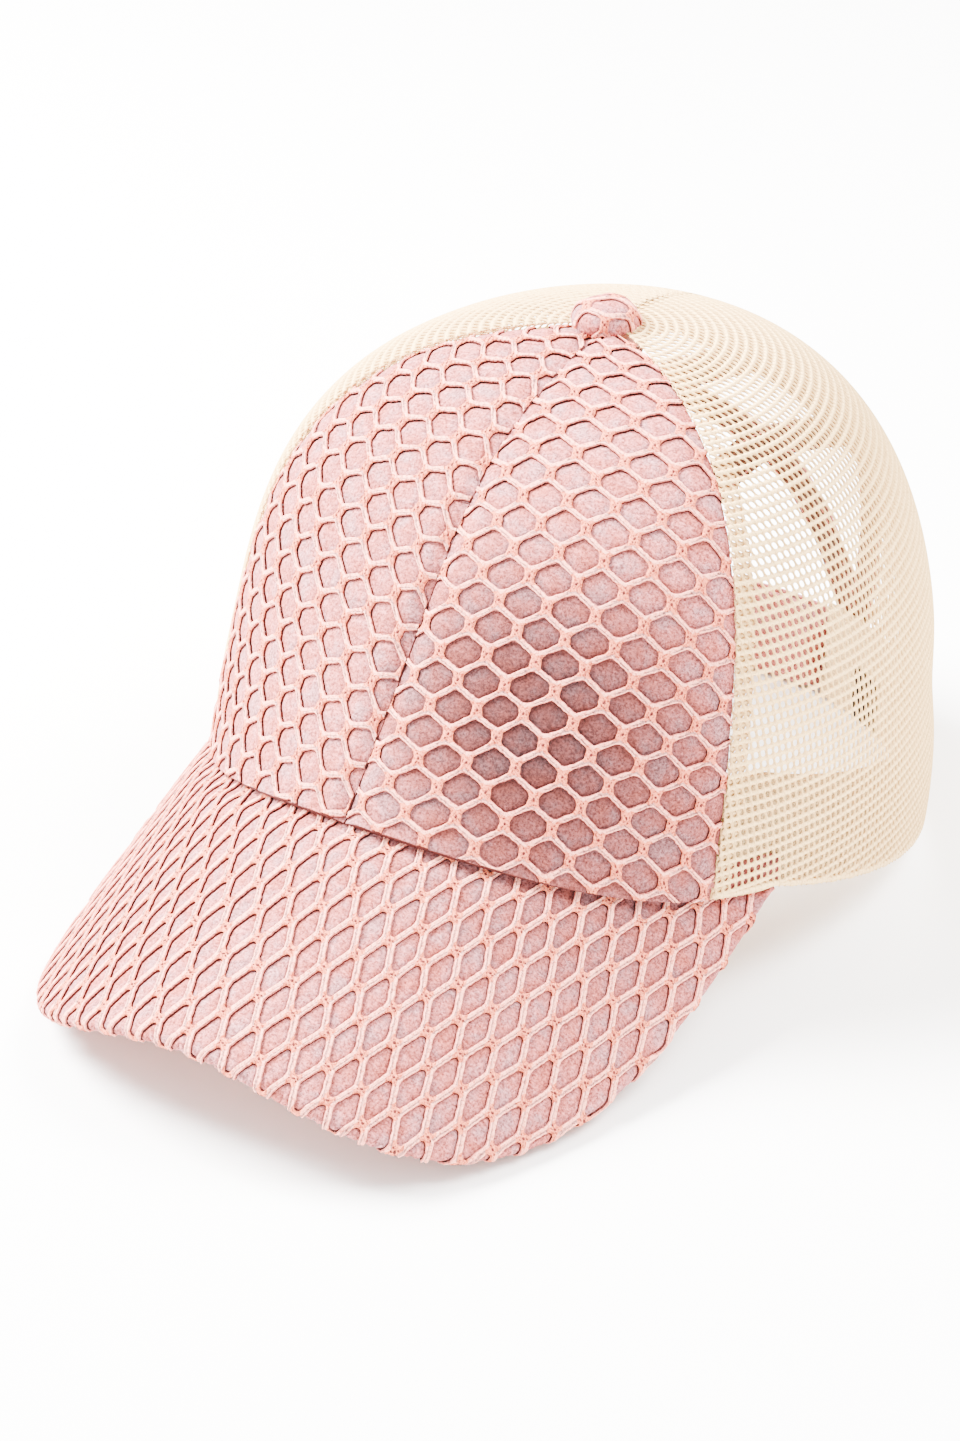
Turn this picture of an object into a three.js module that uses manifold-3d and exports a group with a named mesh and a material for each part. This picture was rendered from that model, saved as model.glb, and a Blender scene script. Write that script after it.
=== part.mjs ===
// A ponytail baseball cap: two netted front panels and a curved peak, a mesh crown behind them,
// and an arched opening at the back that is crossed by straps and closed by two tabs.
// Millimetres, +Z up. The front of the cap looks along -Y. The cap rests on Z = 0, on its back
// rim and on the two low corners of its peak. Its origin lies on that surface, under its middle.
import * as THREE from 'three';
import { mergeVertices } from 'three/addons/utils/BufferGeometryUtils.js';
import Module from 'manifold-3d';

const wasm = await Module();
wasm.setup();

// Crown, measured on its outer face
const crownHalfWidth = 84;
const crownFrontReach = 102;
const crownBackReach = 94;
const crownHeight = 130;
const apexSetBack = 11;
const frontRimHeight = 50;
const climbPower = 1.15;
const rimFallPower = 1.7;
const restingArc = 35;

// How the wall draws in towards the apex: power of the cosine of the climb angle, with a
// low bulge and a shoulder as shares of the reach, for the front, the sides and the back
const crownProfile = {
  front: { power: 1.12, bulge: -0.12, shoulder: -0.04 },
  side: { power: 0.64, bulge: 0.11, shoulder: -0.03 },
  back: { power: 0.68, bulge: 0.13, shoulder: -0.02 },
};

// Soft puckers of the wall: where (degrees round from the front, degrees of climb), how wide,
// how tall, and how far out as a share of the crown's half width
const puckers = [
  { azimuth: -70, climb: 4, spread: 13, rise: 13, out: 0.024 },
  { azimuth: 124, climb: 20, spread: 26, rise: 6, out: -0.014 },
  { azimuth: 24, climb: 26, spread: 15, rise: 15, out: -0.014 },
  { azimuth: 0, climb: 40, spread: 3, rise: 28, out: -0.007 },
];

// Walls and clearances
const panelWall = 2;
const meshWall = 1.6;
const sweatbandWall = 1.5;
const sewnGap = 0.3;
const apexHoleRadius = 5;

// Front seams: degrees round from the front at the rim, and how far they swing back as they climb
const frontSeamAzimuth = 56;
const frontSeamSwing = 14;
const frontSeamReturn = -2;

// Peak
const peakEndAzimuth = 66;
const peakReach = 62;
const peakHalfWidth = 78;
const peakSquareness = 3;
const peakSlope = 0.41;
const peakThickness = 3.6;
const peakTuck = 4;

// Sweatband
const sweatbandHeight = 28;
const sweatbandEndRight = 22;

// Button on the apex
const buttonRadius = 9.5;
const buttonRise = 6.5;
const buttonShankRadius = 4.4;
const buttonWasherRadius = 8;
const buttonWasherThickness = 1.2;
const buttonDomePower = 0.6;

// Arched opening at the back: shares of its height and of its half width, from the rim up
const openingHeight = 106;
const openingHalfWidth = 32.5;
const openingOutline = [
  { height: 0, halfWidth: 0.84 },
  { height: 0.23, halfWidth: 0.87 },
  { height: 0.4, halfWidth: 0.94 },
  { height: 0.58, halfWidth: 1 },
  { height: 0.76, halfWidth: 0.98 },
  { height: 0.88, halfWidth: 0.89 },
  { height: 0.955, halfWidth: 0.67 },
  { height: 1, halfWidth: 0 },
];
const bindingWidth = 7;
const bindingProud = 0.3;
const bindingInset = 1.9;

// Crossed straps: the route of each from its low end to its high end, as shares of the
// opening's half width and height. The outer ones lie within the binding, the inner ones
// run on behind it.
const strapWidth = 9.5;
const strapWall = 1.4;
const strapTail = 5;
const lowerStrapRoute = [
  { across: -1.0, height: 0.19 },
  { across: -0.78, height: 0.335 },
  { across: -0.55, height: 0.457 },
  { across: -0.3, height: 0.561 },
  { across: 0, height: 0.651 },
  { across: 0.5, height: 0.736 },
  { across: 1.2, height: 0.849 },
];
const upperStrapRoute = [
  { across: -1.2, height: 0.735 },
  { across: -0.56, height: 0.845 },
  { across: 0, height: 0.93 },
  { across: 0.5, height: 1.01 },
];

// Closure at the bottom of the opening
const tabHeight = 24;
const tabWall = 1.2;
const tabCorner = 6;
const tabProud = 0.9;
const innerTabEnd = 20;
const outerTabEnd = 20;
const padHalfLength = 14;
const padMargin = 4;

// Plain tag on the inner face of the sweatband
const tagOffset = 41;
const tagWidth = 10;
const tagHeight = 14;
const tagWall = 1;
const tagLift = 1;

const suede = { color: 0xcf9f9d, roughness: 0.92, metalness: 0 };
const suedeReverse = { color: 0xa98078, roughness: 0.95, metalness: 0 };
const meshCloth = { color: 0xf1e8d6, roughness: 0.75, metalness: 0 };
const bandCloth = { color: 0xeee4d3, roughness: 0.9, metalness: 0 };
const darkTape = { color: 0x2b2626, roughness: 0.95, metalness: 0 };

const radians = THREE.MathUtils.degToRad;
const rightAngle = Math.PI / 2;
const clamp = THREE.MathUtils.clamp;
const mix = THREE.MathUtils.lerp;

// Height of the sheet that the peak's top and the crown's front rim share
let peakArch = 0;
function peakSheetHeight(x, y) {
  return frontRimHeight + peakSlope * (y + crownFrontReach) - peakArch * x * x;
}

function peakSheetNormal(x) {
  return new THREE.Vector3(2 * peakArch * x, -peakSlope, 1).normalize();
}

// Outer edge of the peak in plan, a squared half ellipse from one end to the other
function peakEdge(share) {
  const angle = share * rightAngle;
  const power = 2 / peakSquareness;
  const endY = -crownFrontReach * Math.cos(radians(peakEndAzimuth));
  const depth = crownFrontReach + peakReach + endY;
  const x = peakHalfWidth * Math.sign(angle) * Math.abs(Math.sin(angle)) ** power;
  const y = endY - depth * Math.abs(Math.cos(angle)) ** power;
  return { x, y };
}

const peakColumns = 44;

function lowestPeakPoint() {
  let lowest = Infinity;
  for (let column = 0; column <= peakColumns; column += 1) {
    const edge = peakEdge((2 * column) / peakColumns - 1);
    const drop = peakSheetNormal(edge.x).z * (sewnGap + peakThickness);
    lowest = Math.min(lowest, peakSheetHeight(edge.x, edge.y) - drop);
  }
  return lowest;
}

// The peak is arched just enough for the underside of its corners to touch the surface
function settlePeakArch() {
  let flat = 0;
  let steep = (4 * frontRimHeight) / (peakHalfWidth * peakHalfWidth);
  for (let step = 0; step < 50; step += 1) {
    peakArch = (flat + steep) / 2;
    if (lowestPeakPoint() > 0) {
      flat = peakArch;
    } else {
      steep = peakArch;
    }
  }
  peakArch = flat;
}
settlePeakArch();

// Point of the rim at a depth inside the outer face, azimuth 0 at the front
function rimPoint(azimuth, depth) {
  const facing = Math.cos(azimuth);
  const reach = (facing > 0 ? crownFrontReach : crownBackReach) - depth;
  const x = (crownHalfWidth - depth) * Math.sin(azimuth);
  const y = -reach * facing;
  const peakEnd = radians(peakEndAzimuth);
  if (Math.abs(azimuth) <= peakEnd) {
    return new THREE.Vector3(x, y, peakSheetHeight(x, y));
  }
  const endX = (crownHalfWidth - depth) * Math.sin(peakEnd);
  const endY = -(crownFrontReach - depth) * Math.cos(peakEnd);
  const restY = (crownBackReach - depth) * Math.cos(radians(restingArc));
  const share = clamp((restY - y) / (restY - endY), 0, 1);
  return new THREE.Vector3(x, y, peakSheetHeight(endX, endY) * share ** rimFallPower);
}

function puckerAt(azimuth, climb) {
  let out = 0;
  for (const pucker of puckers) {
    const around = (THREE.MathUtils.radToDeg(azimuth) - pucker.azimuth) / pucker.spread;
    const up = (THREE.MathUtils.radToDeg(climb) - pucker.climb) / pucker.rise;
    out += pucker.out * Math.exp(-around * around - up * up);
  }
  return out;
}

// Share of the rim's reach that is left at a climb angle, 1 at the rim and 0 at the apex
function reachShare(azimuth, climb) {
  const facing = Math.cos(azimuth);
  const weights = {
    front: Math.max(facing, 0) ** 2,
    side: 1 - facing * facing,
    back: Math.max(-facing, 0) ** 2,
  };
  const closing = Math.max(Math.cos(climb), 0);
  let share = 0;
  for (const [side, weight] of Object.entries(weights)) {
    const law = crownProfile[side];
    const swell = 1 + law.bulge * Math.sin(2 * climb) + law.shoulder * Math.sin(4 * climb);
    share += weight * closing ** law.power * swell;
  }
  return share + puckerAt(azimuth, climb);
}

// Point of the crown's wall. A climb of 0 is the rim, a right angle is the apex.
function crownPoint(azimuth, climb, depth) {
  const rim = rimPoint(azimuth, depth);
  const share = reachShare(azimuth, climb);
  const top = crownHeight - depth;
  return new THREE.Vector3(
    rim.x * share,
    apexSetBack + (rim.y - apexSetBack) * share,
    rim.z + (top - rim.z) * Math.sin(climb) ** climbPower,
  );
}

function reachAt(azimuth, climb) {
  const point = crownPoint(azimuth, climb, 0);
  return Math.hypot(point.x, point.y - apexSetBack);
}

// The climb angle at which a panel ends, at the edge of the hole under the button
const leastEndClimb = 60;
function endClimb(azimuth) {
  let low = radians(leastEndClimb);
  let high = rightAngle;
  for (let step = 0; step < 40; step += 1) {
    const middle = (low + high) / 2;
    if (reachAt(azimuth, middle) > apexHoleRadius) {
      low = middle;
    } else {
      high = middle;
    }
  }
  return low;
}

function climbForRise(azimuth, depth, rise) {
  const rim = rimPoint(azimuth, depth);
  return Math.asin(clamp(rise / (crownHeight - depth - rim.z), 0, 1) ** (1 / climbPower));
}

// A closed sheet: a grid of points on side 0 and on side 1, joined along its four edges
function closedSheet(columns, rows, place) {
  const positions = [];
  const indices = [];
  const at = (side, column, row) => (side * (rows + 1) + row) * (columns + 1) + column;
  const quad = (a, b, c, d) => indices.push(a, b, c, a, c, d);
  for (const side of [0, 1]) {
    for (let row = 0; row <= rows; row += 1) {
      for (let column = 0; column <= columns; column += 1) {
        positions.push(...place(column / columns, row / rows, side).toArray());
      }
    }
  }
  for (let row = 0; row < rows; row += 1) {
    for (let column = 0; column < columns; column += 1) {
      quad(at(0, column, row), at(0, column + 1, row), at(0, column + 1, row + 1), at(0, column, row + 1));
      quad(at(1, column, row), at(1, column, row + 1), at(1, column + 1, row + 1), at(1, column + 1, row));
    }
    quad(at(0, 0, row), at(0, 0, row + 1), at(1, 0, row + 1), at(1, 0, row));
    quad(at(0, columns, row), at(1, columns, row), at(1, columns, row + 1), at(0, columns, row + 1));
  }
  for (let column = 0; column < columns; column += 1) {
    quad(at(0, column, 0), at(1, column, 0), at(1, column + 1, 0), at(0, column + 1, 0));
    quad(at(0, column, rows), at(0, column + 1, rows), at(1, column + 1, rows), at(1, column, rows));
  }
  return faceOutwards(positions, indices);
}

function faceOutwards(positions, indices) {
  const geometry = new THREE.BufferGeometry();
  geometry.setAttribute('position', new THREE.Float32BufferAttribute(positions, 3));
  const corner = (index) => new THREE.Vector3().fromArray(positions, 3 * index);
  let volume = 0;
  for (let start = 0; start < indices.length; start += 3) {
    const [a, b, c] = indices.slice(start, start + 3).map(corner);
    volume += a.dot(b.cross(c));
  }
  const order = volume < 0 ? [...indices].reverse() : indices;
  geometry.setIndex(order);
  return geometry;
}

// Between three.js geometry and solids that can be cut
function toSolid(geometry) {
  const bare = geometry.clone();
  bare.deleteAttribute('normal');
  bare.deleteAttribute('uv');
  const merged = mergeVertices(bare);
  return new wasm.Manifold(new wasm.Mesh({
    numProp: 3,
    vertProperties: new Float32Array(merged.attributes.position.array),
    triVerts: new Uint32Array(merged.index.array),
  }));
}

function toGeometry(solid) {
  const mesh = solid.getMesh();
  const geometry = new THREE.BufferGeometry();
  geometry.setAttribute('position', new THREE.BufferAttribute(mesh.vertProperties, 3));
  geometry.setIndex(new THREE.BufferAttribute(mesh.triVerts, 1));
  return geometry;
}

function addPiece(parent, name, geometry, finish) {
  geometry.computeVertexNormals();
  const piece = new THREE.Mesh(geometry, new THREE.MeshStandardMaterial(finish));
  piece.name = name;
  parent.add(piece);
}

// Azimuth of the seam between front panel and mesh at a share of the way up
function frontSeam(share) {
  return radians(frontSeamAzimuth + frontSeamSwing * share + frontSeamReturn * share * share);
}

// A wall panel between two seams. Rows crowd together towards the apex, where it bends most.
// The panel's columns stand at the given shares of the way from one seam to the other.
const panelRows = 13;
const apexCrowding = 1.6;
function wallPanel(shares, wall, seamFrom, seamTo) {
  const columns = shares.length - 1;
  return closedSheet(columns, panelRows, (across, up, side) => {
    const column = Math.round(across * columns);
    const share = 1 - (1 - up) ** apexCrowding;
    const middle = mix(seamFrom(share), seamTo(share), shares[column]);
    const climb = endClimb(middle) * share;
    const halfGap = sewnGap / 2 / reachAt(middle, climb);
    const inset = (column === 0) - (column === columns);
    return crownPoint(middle + inset * halfGap, climb, side * wall);
  });
}

function evenShares(from, to, count) {
  return Array.from({ length: count + 1 }, (_, index) => mix(from, to, index / count));
}

// Upright prism through the back wall, from an outline in X and Z
function backPrism(outline) {
  const shape = new THREE.Shape(outline);
  const depth = crownBackReach + crownHalfWidth;
  const geometry = new THREE.ExtrudeGeometry(shape, { depth, bevelEnabled: false });
  geometry.rotateX(rightAngle);
  geometry.translate(0, depth + apexSetBack, 0);
  return toSolid(geometry);
}

// Outline of the opening, grown outwards by a distance, open at the bottom past the rim
const outlineSteps = 22;
function openingShape(grow) {
  const rows = openingOutline.map((row) => new THREE.Vector2(
    row.halfWidth * openingHalfWidth,
    row.height * openingHeight,
  ));
  const mirrored = rows.slice(0, -1).reverse().map((row) => new THREE.Vector2(-row.x, row.y));
  const curve = new THREE.SplineCurve([...rows, ...mirrored]);
  const points = [];
  for (let step = 0; step <= 2 * outlineSteps; step += 1) {
    const share = step / (2 * outlineSteps);
    const along = curve.getTangent(share);
    const point = curve.getPoint(share);
    points.push(new THREE.Vector2(point.x + along.y * grow, point.y - along.x * grow));
  }
  const floor = -openingHeight / 10;
  const first = points[0];
  const last = points[points.length - 1];
  return [new THREE.Vector2(first.x, floor), ...points, new THREE.Vector2(last.x, floor)];
}

// A thin layer of the back wall between two depths, wide enough for all that crosses the opening
const backColumns = 26;
const backRows = 15;
const backHalfArc = 48;
const backTopClimb = 72;
function backLayer(outerDepth, innerDepth) {
  const halfArc = radians(backHalfArc);
  const topClimb = radians(backTopClimb);
  return toSolid(closedSheet(backColumns, backRows, (across, up, side) => {
    const azimuth = mix(Math.PI - halfArc, Math.PI + halfArc, across);
    const wrapped = azimuth > Math.PI ? azimuth - 2 * Math.PI : azimuth;
    return crownPoint(wrapped, topClimb * up, side === 0 ? outerDepth : innerDepth);
  }));
}

// Outline of a strap of even width along a route
const strapSteps = 14;
function strapShape(route, mirror) {
  const points = route.map((row) => new THREE.Vector2(
    mirror * row.across * openingHalfWidth,
    row.height * openingHeight,
  ));
  const curve = new THREE.SplineCurve(points);
  const near = [];
  const far = [];
  for (let step = 0; step <= strapSteps; step += 1) {
    const point = curve.getPoint(step / strapSteps);
    const along = curve.getTangent(step / strapSteps);
    const offset = new THREE.Vector2(-along.y, along.x).multiplyScalar(strapWidth / 2);
    near.push(point.clone().add(offset));
    far.unshift(point.clone().sub(offset));
  }
  return [...near, ...far];
}

function strapPiece(route, mirror, isOuter) {
  const outerDepth = isOuter ? bindingInset - strapWall : bindingInset + sewnGap;
  const reach = isOuter ? -sewnGap : strapTail;
  const aboveTabs = backPrism([
    new THREE.Vector2(-crownHalfWidth, tabHeight + sewnGap),
    new THREE.Vector2(crownHalfWidth, tabHeight + sewnGap),
    new THREE.Vector2(crownHalfWidth, crownHeight),
    new THREE.Vector2(-crownHalfWidth, crownHeight),
  ]);
  const layer = backLayer(outerDepth, outerDepth + strapWall);
  const band = backPrism(strapShape(route, mirror));
  return toGeometry(layer.intersect(band).intersect(backPrism(openingShape(reach))).intersect(aboveTabs));
}

// A tab along the rim with rounded corners at its free end
function tabShape(fixedEnd, freeEnd, low, high) {
  const inward = Math.sign(fixedEnd - freeEnd);
  const shape = new THREE.Shape();
  shape.moveTo(fixedEnd, low);
  shape.lineTo(freeEnd + inward * tabCorner, low);
  shape.quadraticCurveTo(freeEnd, low, freeEnd, low + tabCorner);
  shape.lineTo(freeEnd, high - tabCorner);
  shape.quadraticCurveTo(freeEnd, high, freeEnd + inward * tabCorner, high);
  shape.lineTo(fixedEnd, high);
  return shape.getPoints(4);
}

const frontColumns = 12;
const meshColumnsOverPeak = 2;
const meshColumnsBehindPeak = 17;
function buildCrown(cap) {
  const centre = () => 0;
  const back = () => Math.PI;
  const right = (share) => -frontSeam(share);
  const frontShares = evenShares(0, 1, frontColumns);
  addPiece(cap, 'front_panel_left', wallPanel(frontShares, panelWall, centre, frontSeam), suede);
  addPiece(cap, 'front_panel_right', wallPanel(frontShares, panelWall, right, centre), suede);
  // One column of the mesh stands where the peak ends, because the rim bends there
  const peakEndShare = (peakEndAzimuth - frontSeamAzimuth) / (180 - frontSeamAzimuth);
  const meshShares = [
    ...evenShares(0, peakEndShare, meshColumnsOverPeak),
    ...evenShares(peakEndShare, 1, meshColumnsBehindPeak).slice(1),
  ];
  const mirroredShares = meshShares.map((share) => 1 - share).reverse();
  const cut = backPrism(openingShape(bindingWidth + sewnGap));
  const left = toSolid(wallPanel(meshShares, meshWall, frontSeam, back)).subtract(cut);
  const other = toSolid(wallPanel(mirroredShares, meshWall, () => -Math.PI, right)).subtract(cut);
  addPiece(cap, 'mesh_panel_left', toGeometry(left), meshCloth);
  addPiece(cap, 'mesh_panel_right', toGeometry(other), meshCloth);
}

// The washer lies under the panels, which round the hole lie a little lower than the apex
const buttonWasherDrop = 0.6;
function buildButton(cap) {
  const washerTop = crownHeight - panelWall - sewnGap - buttonWasherDrop;
  const seat = crownHeight + sewnGap;
  const profile = [
    new THREE.Vector2(0, washerTop - buttonWasherThickness),
    new THREE.Vector2(buttonWasherRadius, washerTop - buttonWasherThickness),
    new THREE.Vector2(buttonWasherRadius, washerTop),
    new THREE.Vector2(buttonShankRadius, washerTop),
    new THREE.Vector2(buttonShankRadius, seat),
  ];
  const domeSteps = 7;
  for (let step = 0; step <= domeSteps; step += 1) {
    const angle = (rightAngle * step) / domeSteps;
    const radius = step === domeSteps ? 0 : buttonRadius * Math.cos(angle) ** buttonDomePower;
    profile.push(new THREE.Vector2(radius, seat + buttonRise * Math.sin(angle)));
  }
  const geometry = new THREE.LatheGeometry(profile, 24);
  geometry.rotateX(rightAngle);
  geometry.translate(0, apexSetBack, 0);
  addPiece(cap, 'button', geometry, suede);
}

// The peak runs from its tucked edge under the crown, past the rim, to its outer edge
function buildPeak(cap) {
  const tuckRows = 1;
  const rows = 7;
  addPiece(cap, 'peak', closedSheet(peakColumns, rows, (across, along, side) => {
    const share = 2 * across - 1;
    const row = Math.round(along * rows);
    const azimuth = share * radians(peakEndAzimuth);
    const rim = rimPoint(azimuth, row < tuckRows ? peakTuck : 0);
    const edge = peakEdge(share);
    const outward = Math.max(row - tuckRows, 0) / (rows - tuckRows);
    const x = mix(rim.x, edge.x, outward);
    const y = mix(rim.y, edge.y, outward);
    const below = sewnGap + side * peakThickness;
    const sheet = new THREE.Vector3(x, y, peakSheetHeight(x, y));
    return sheet.addScaledVector(peakSheetNormal(x), -below);
  }), suede);
}

function azimuthAtBack(x, depth) {
  const turn = Math.asin(x / (crownHalfWidth - depth));
  return Math.PI - turn;
}

// The sweatband lies inside the walls, from one side of the opening round the front to the other
const bandSideColumns = 13;
const bandFrontColumns = 30;
const bandEndGap = 0.9;
function buildSweatband(cap) {
  const depth = panelWall + sewnGap;
  const leftEnd = openingOutline[0].halfWidth * openingHalfWidth + bindingWidth + bandEndGap;
  const peakEnd = radians(peakEndAzimuth);
  const azimuths = [
    ...evenShares(-azimuthAtBack(leftEnd, depth), -peakEnd, bandSideColumns),
    ...evenShares(-peakEnd, peakEnd, bandFrontColumns).slice(1),
    ...evenShares(peakEnd, azimuthAtBack(sweatbandEndRight, depth), bandSideColumns).slice(1),
  ];
  const columns = azimuths.length - 1;
  addPiece(cap, 'sweatband', closedSheet(columns, 3, (across, up, side) => {
    const azimuth = azimuths[Math.round(across * columns)];
    const level = depth + side * sweatbandWall;
    return crownPoint(azimuth, climbForRise(azimuth, level, up * sweatbandHeight), level);
  }), bandCloth);
}

function buildOpening(cap) {
  const ring = backPrism(openingShape(bindingWidth)).subtract(backPrism(openingShape(0)));
  const binding = backLayer(-bindingProud, bindingInset).intersect(ring);
  addPiece(cap, 'opening_binding', toGeometry(binding), suede);
  addPiece(cap, 'lower_strap_inner', strapPiece(lowerStrapRoute, 1, false), suedeReverse);
  addPiece(cap, 'lower_strap_outer', strapPiece(lowerStrapRoute, -1, true), suedeReverse);
  addPiece(cap, 'upper_strap_inner', strapPiece(upperStrapRoute, 1, false), suedeReverse);
  addPiece(cap, 'upper_strap_outer', strapPiece(upperStrapRoute, -1, true), suedeReverse);
}

function buildClosure(cap) {
  const legEdge = openingOutline[0].halfWidth * openingHalfWidth;
  const innerDepth = bindingInset + sewnGap;
  const innerStart = -(legEdge + bindingWidth);
  const innerTab = backLayer(innerDepth, innerDepth + sweatbandWall)
    .intersect(backPrism(tabShape(innerStart, innerTabEnd, 0, tabHeight)));
  const outerTab = backLayer(-tabProud, tabWall - tabProud)
    .intersect(backPrism(tabShape(legEdge - sewnGap, -outerTabEnd, 0, tabHeight)));
  const pad = backLayer(tabWall - tabProud + sewnGap, bindingInset)
    .intersect(backPrism(tabShape(padHalfLength, -padHalfLength, padMargin, tabHeight - padMargin)));
  addPiece(cap, 'tab_inner', toGeometry(innerTab), suede);
  addPiece(cap, 'tab_outer', toGeometry(outerTab), suede);
  addPiece(cap, 'hook_and_loop_pad', toGeometry(pad), darkTape);
}

function buildTag(cap) {
  const depth = panelWall + sweatbandWall + 2 * sewnGap;
  const from = azimuthAtBack(tagOffset + tagWidth / 2, depth);
  const to = azimuthAtBack(tagOffset - tagWidth / 2, depth);
  addPiece(cap, 'inner_tag', closedSheet(3, 2, (across, up, side) => {
    const azimuth = mix(from, to, across);
    const level = depth + side * tagWall;
    return crownPoint(azimuth, climbForRise(azimuth, level, tagLift + up * tagHeight), level);
  }), darkTape);
}

const cap = new THREE.Group();
buildCrown(cap);
buildButton(cap);
buildPeak(cap);
buildSweatband(cap);
buildOpening(cap);
buildClosure(cap);
buildTag(cap);

// The origin goes under the middle of the whole cap
const bounds = new THREE.Box3().setFromObject(cap);
cap.position.y = -(bounds.min.y + bounds.max.y) / 2;
cap.updateMatrixWorld(true);

export default cap;
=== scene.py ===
import math
import random
import bpy
import numpy as np
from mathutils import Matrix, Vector


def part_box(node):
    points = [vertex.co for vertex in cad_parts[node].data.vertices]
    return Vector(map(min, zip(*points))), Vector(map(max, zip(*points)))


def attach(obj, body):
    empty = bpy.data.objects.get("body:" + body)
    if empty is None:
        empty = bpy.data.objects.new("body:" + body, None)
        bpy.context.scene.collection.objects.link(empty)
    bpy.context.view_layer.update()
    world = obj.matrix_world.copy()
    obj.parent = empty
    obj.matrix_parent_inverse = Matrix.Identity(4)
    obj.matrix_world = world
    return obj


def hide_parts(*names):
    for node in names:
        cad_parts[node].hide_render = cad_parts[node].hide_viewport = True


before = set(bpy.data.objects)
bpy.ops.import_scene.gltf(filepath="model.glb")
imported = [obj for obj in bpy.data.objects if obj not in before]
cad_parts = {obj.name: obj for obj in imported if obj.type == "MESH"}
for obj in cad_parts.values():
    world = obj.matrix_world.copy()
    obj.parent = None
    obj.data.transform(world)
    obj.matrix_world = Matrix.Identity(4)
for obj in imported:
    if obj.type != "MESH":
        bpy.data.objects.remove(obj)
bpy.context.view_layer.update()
print("cap: frame loaded")

mm = 0.001

# The wall of the crown, in millimetres and degrees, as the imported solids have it
crown = {
    "halfWidth": 84,
    "frontReach": 102,
    "backReach": 94,
    "height": 130,
    "apexSetBack": 11,
    "frontRimHeight": 50,
    "climbPower": 1.15,
    "rimFallPower": 1.7,
    "restingArc": 35,
    "peakEnd": 66,
    "peakSlope": 0.41,
    "peakArch": 0.008066,
    # power, bulge and shoulder of the way the wall draws in, for front, side and back
    "profile": [(1.12, -0.12, -0.04), (0.64, 0.11, -0.03), (0.68, 0.13, -0.02)],
    # soft puckers: azimuth, climb, spread, rise, how far out
    "puckers": [(-70, 4, 13, 13, 0.024), (124, 20, 26, 6, -0.014),
                (24, 26, 15, 15, -0.014), (0, 40, 3, 28, -0.007)],
    "seam": (56, 14, -2),
    "apexHole": 5,
}
buttonLow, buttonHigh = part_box("button")
setBack = (buttonLow[1] + buttonHigh[1]) / 2 / mm - crown["apexSetBack"]
peakEnd = math.radians(crown["peakEnd"])
peakEndY = -crown["frontReach"] * math.cos(peakEnd)


# Length along a line of points, from its start
def runAlong(line):
    return np.concatenate([[0], np.cumsum(np.linalg.norm(np.diff(line, axis=0), axis=1))])


def unit(rows):
    return rows / np.linalg.norm(rows, axis=-1, keepdims=True)


# Height of the sheet that the peak lies on
def peakSheet(x, y):
    rise = crown["peakSlope"] * (y + crown["frontReach"])
    return crown["frontRimHeight"] + rise - crown["peakArch"] * x * x


# Where the rim is at an azimuth: on the peak's sheet in front, falling to the table behind
def rimPlace(azimuth):
    x = crown["halfWidth"] * np.sin(azimuth)
    y = -np.where(np.cos(azimuth) > 0, crown["frontReach"], crown["backReach"]) * np.cos(azimuth)
    restY = crown["backReach"] * math.cos(math.radians(crown["restingArc"]))
    share = np.clip((restY - y) / (restY - peakEndY), 0, 1)
    behind = peakSheet(crown["halfWidth"] * math.sin(peakEnd), peakEndY) * share ** crown["rimFallPower"]
    return x, y, np.where(np.cos(azimuth) >= math.cos(peakEnd), peakSheet(x, y), behind)


# Points of the crown's outer face, azimuth round from the front and climb up from the rim
def crownFace(azimuth, climb):
    x, y, z = rimPlace(azimuth)
    facing = np.cos(azimuth)
    weights = [np.maximum(facing, 0) ** 2, 1 - facing ** 2, np.maximum(-facing, 0) ** 2]
    closing = np.maximum(np.cos(climb), 0)
    share = 0
    for weight, (power, bulge, shoulder) in zip(weights, crown["profile"]):
        swell = 1 + bulge * np.sin(2 * climb) + shoulder * np.sin(4 * climb)
        share = share + weight * closing ** power * swell
    turn = np.degrees(np.arctan2(np.sin(azimuth), np.cos(azimuth)))
    for around, up, spread, rise, out in crown["puckers"]:
        gap = ((turn - around) / spread) ** 2 + ((np.degrees(climb) - up) / rise) ** 2
        share = share + out * np.exp(-gap)
    setIn = crown["apexSetBack"]
    rise = np.sin(np.clip(climb, 0, math.pi / 2)) ** crown["climbPower"]
    return np.stack([x * share, setIn + (y - setIn) * share, z + (crown["height"] - z) * rise], -1)


# The same with a distance outwards along the face's normal
def onCrown(azimuth, climb, out=0.0):
    step = 1e-3
    climb = np.clip(climb, 0, math.radians(89.8))
    around = crownFace(azimuth + step, climb) - crownFace(azimuth - step, climb)
    low = np.maximum(climb - step, 0)
    up = crownFace(azimuth, low + 2 * step) - crownFace(azimuth, low)
    return crownFace(azimuth, climb) + unit(np.cross(around, up)) * np.asarray(out)[..., None]


# Climb at which the face stands at a height
def climbAt(azimuth, z):
    rim = rimPlace(azimuth)[2]
    share = np.clip((z - rim) / (crown["height"] - rim), 0, 1)
    return np.arcsin(share ** (1 / crown["climbPower"]))


# Distance from the button's axis
def crownReach(azimuth, z):
    face = crownFace(azimuth, climbAt(azimuth, z))
    return np.hypot(face[..., 0], face[..., 1] - crown["apexSetBack"])


# Azimuth of the seam between a front panel and the mesh
def seamAt(climb):
    swing, out, back = crown["seam"]
    share = np.clip(climb / math.radians(88.5), 0, 1)
    return np.radians(swing + out * share + back * share ** 2)


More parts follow.
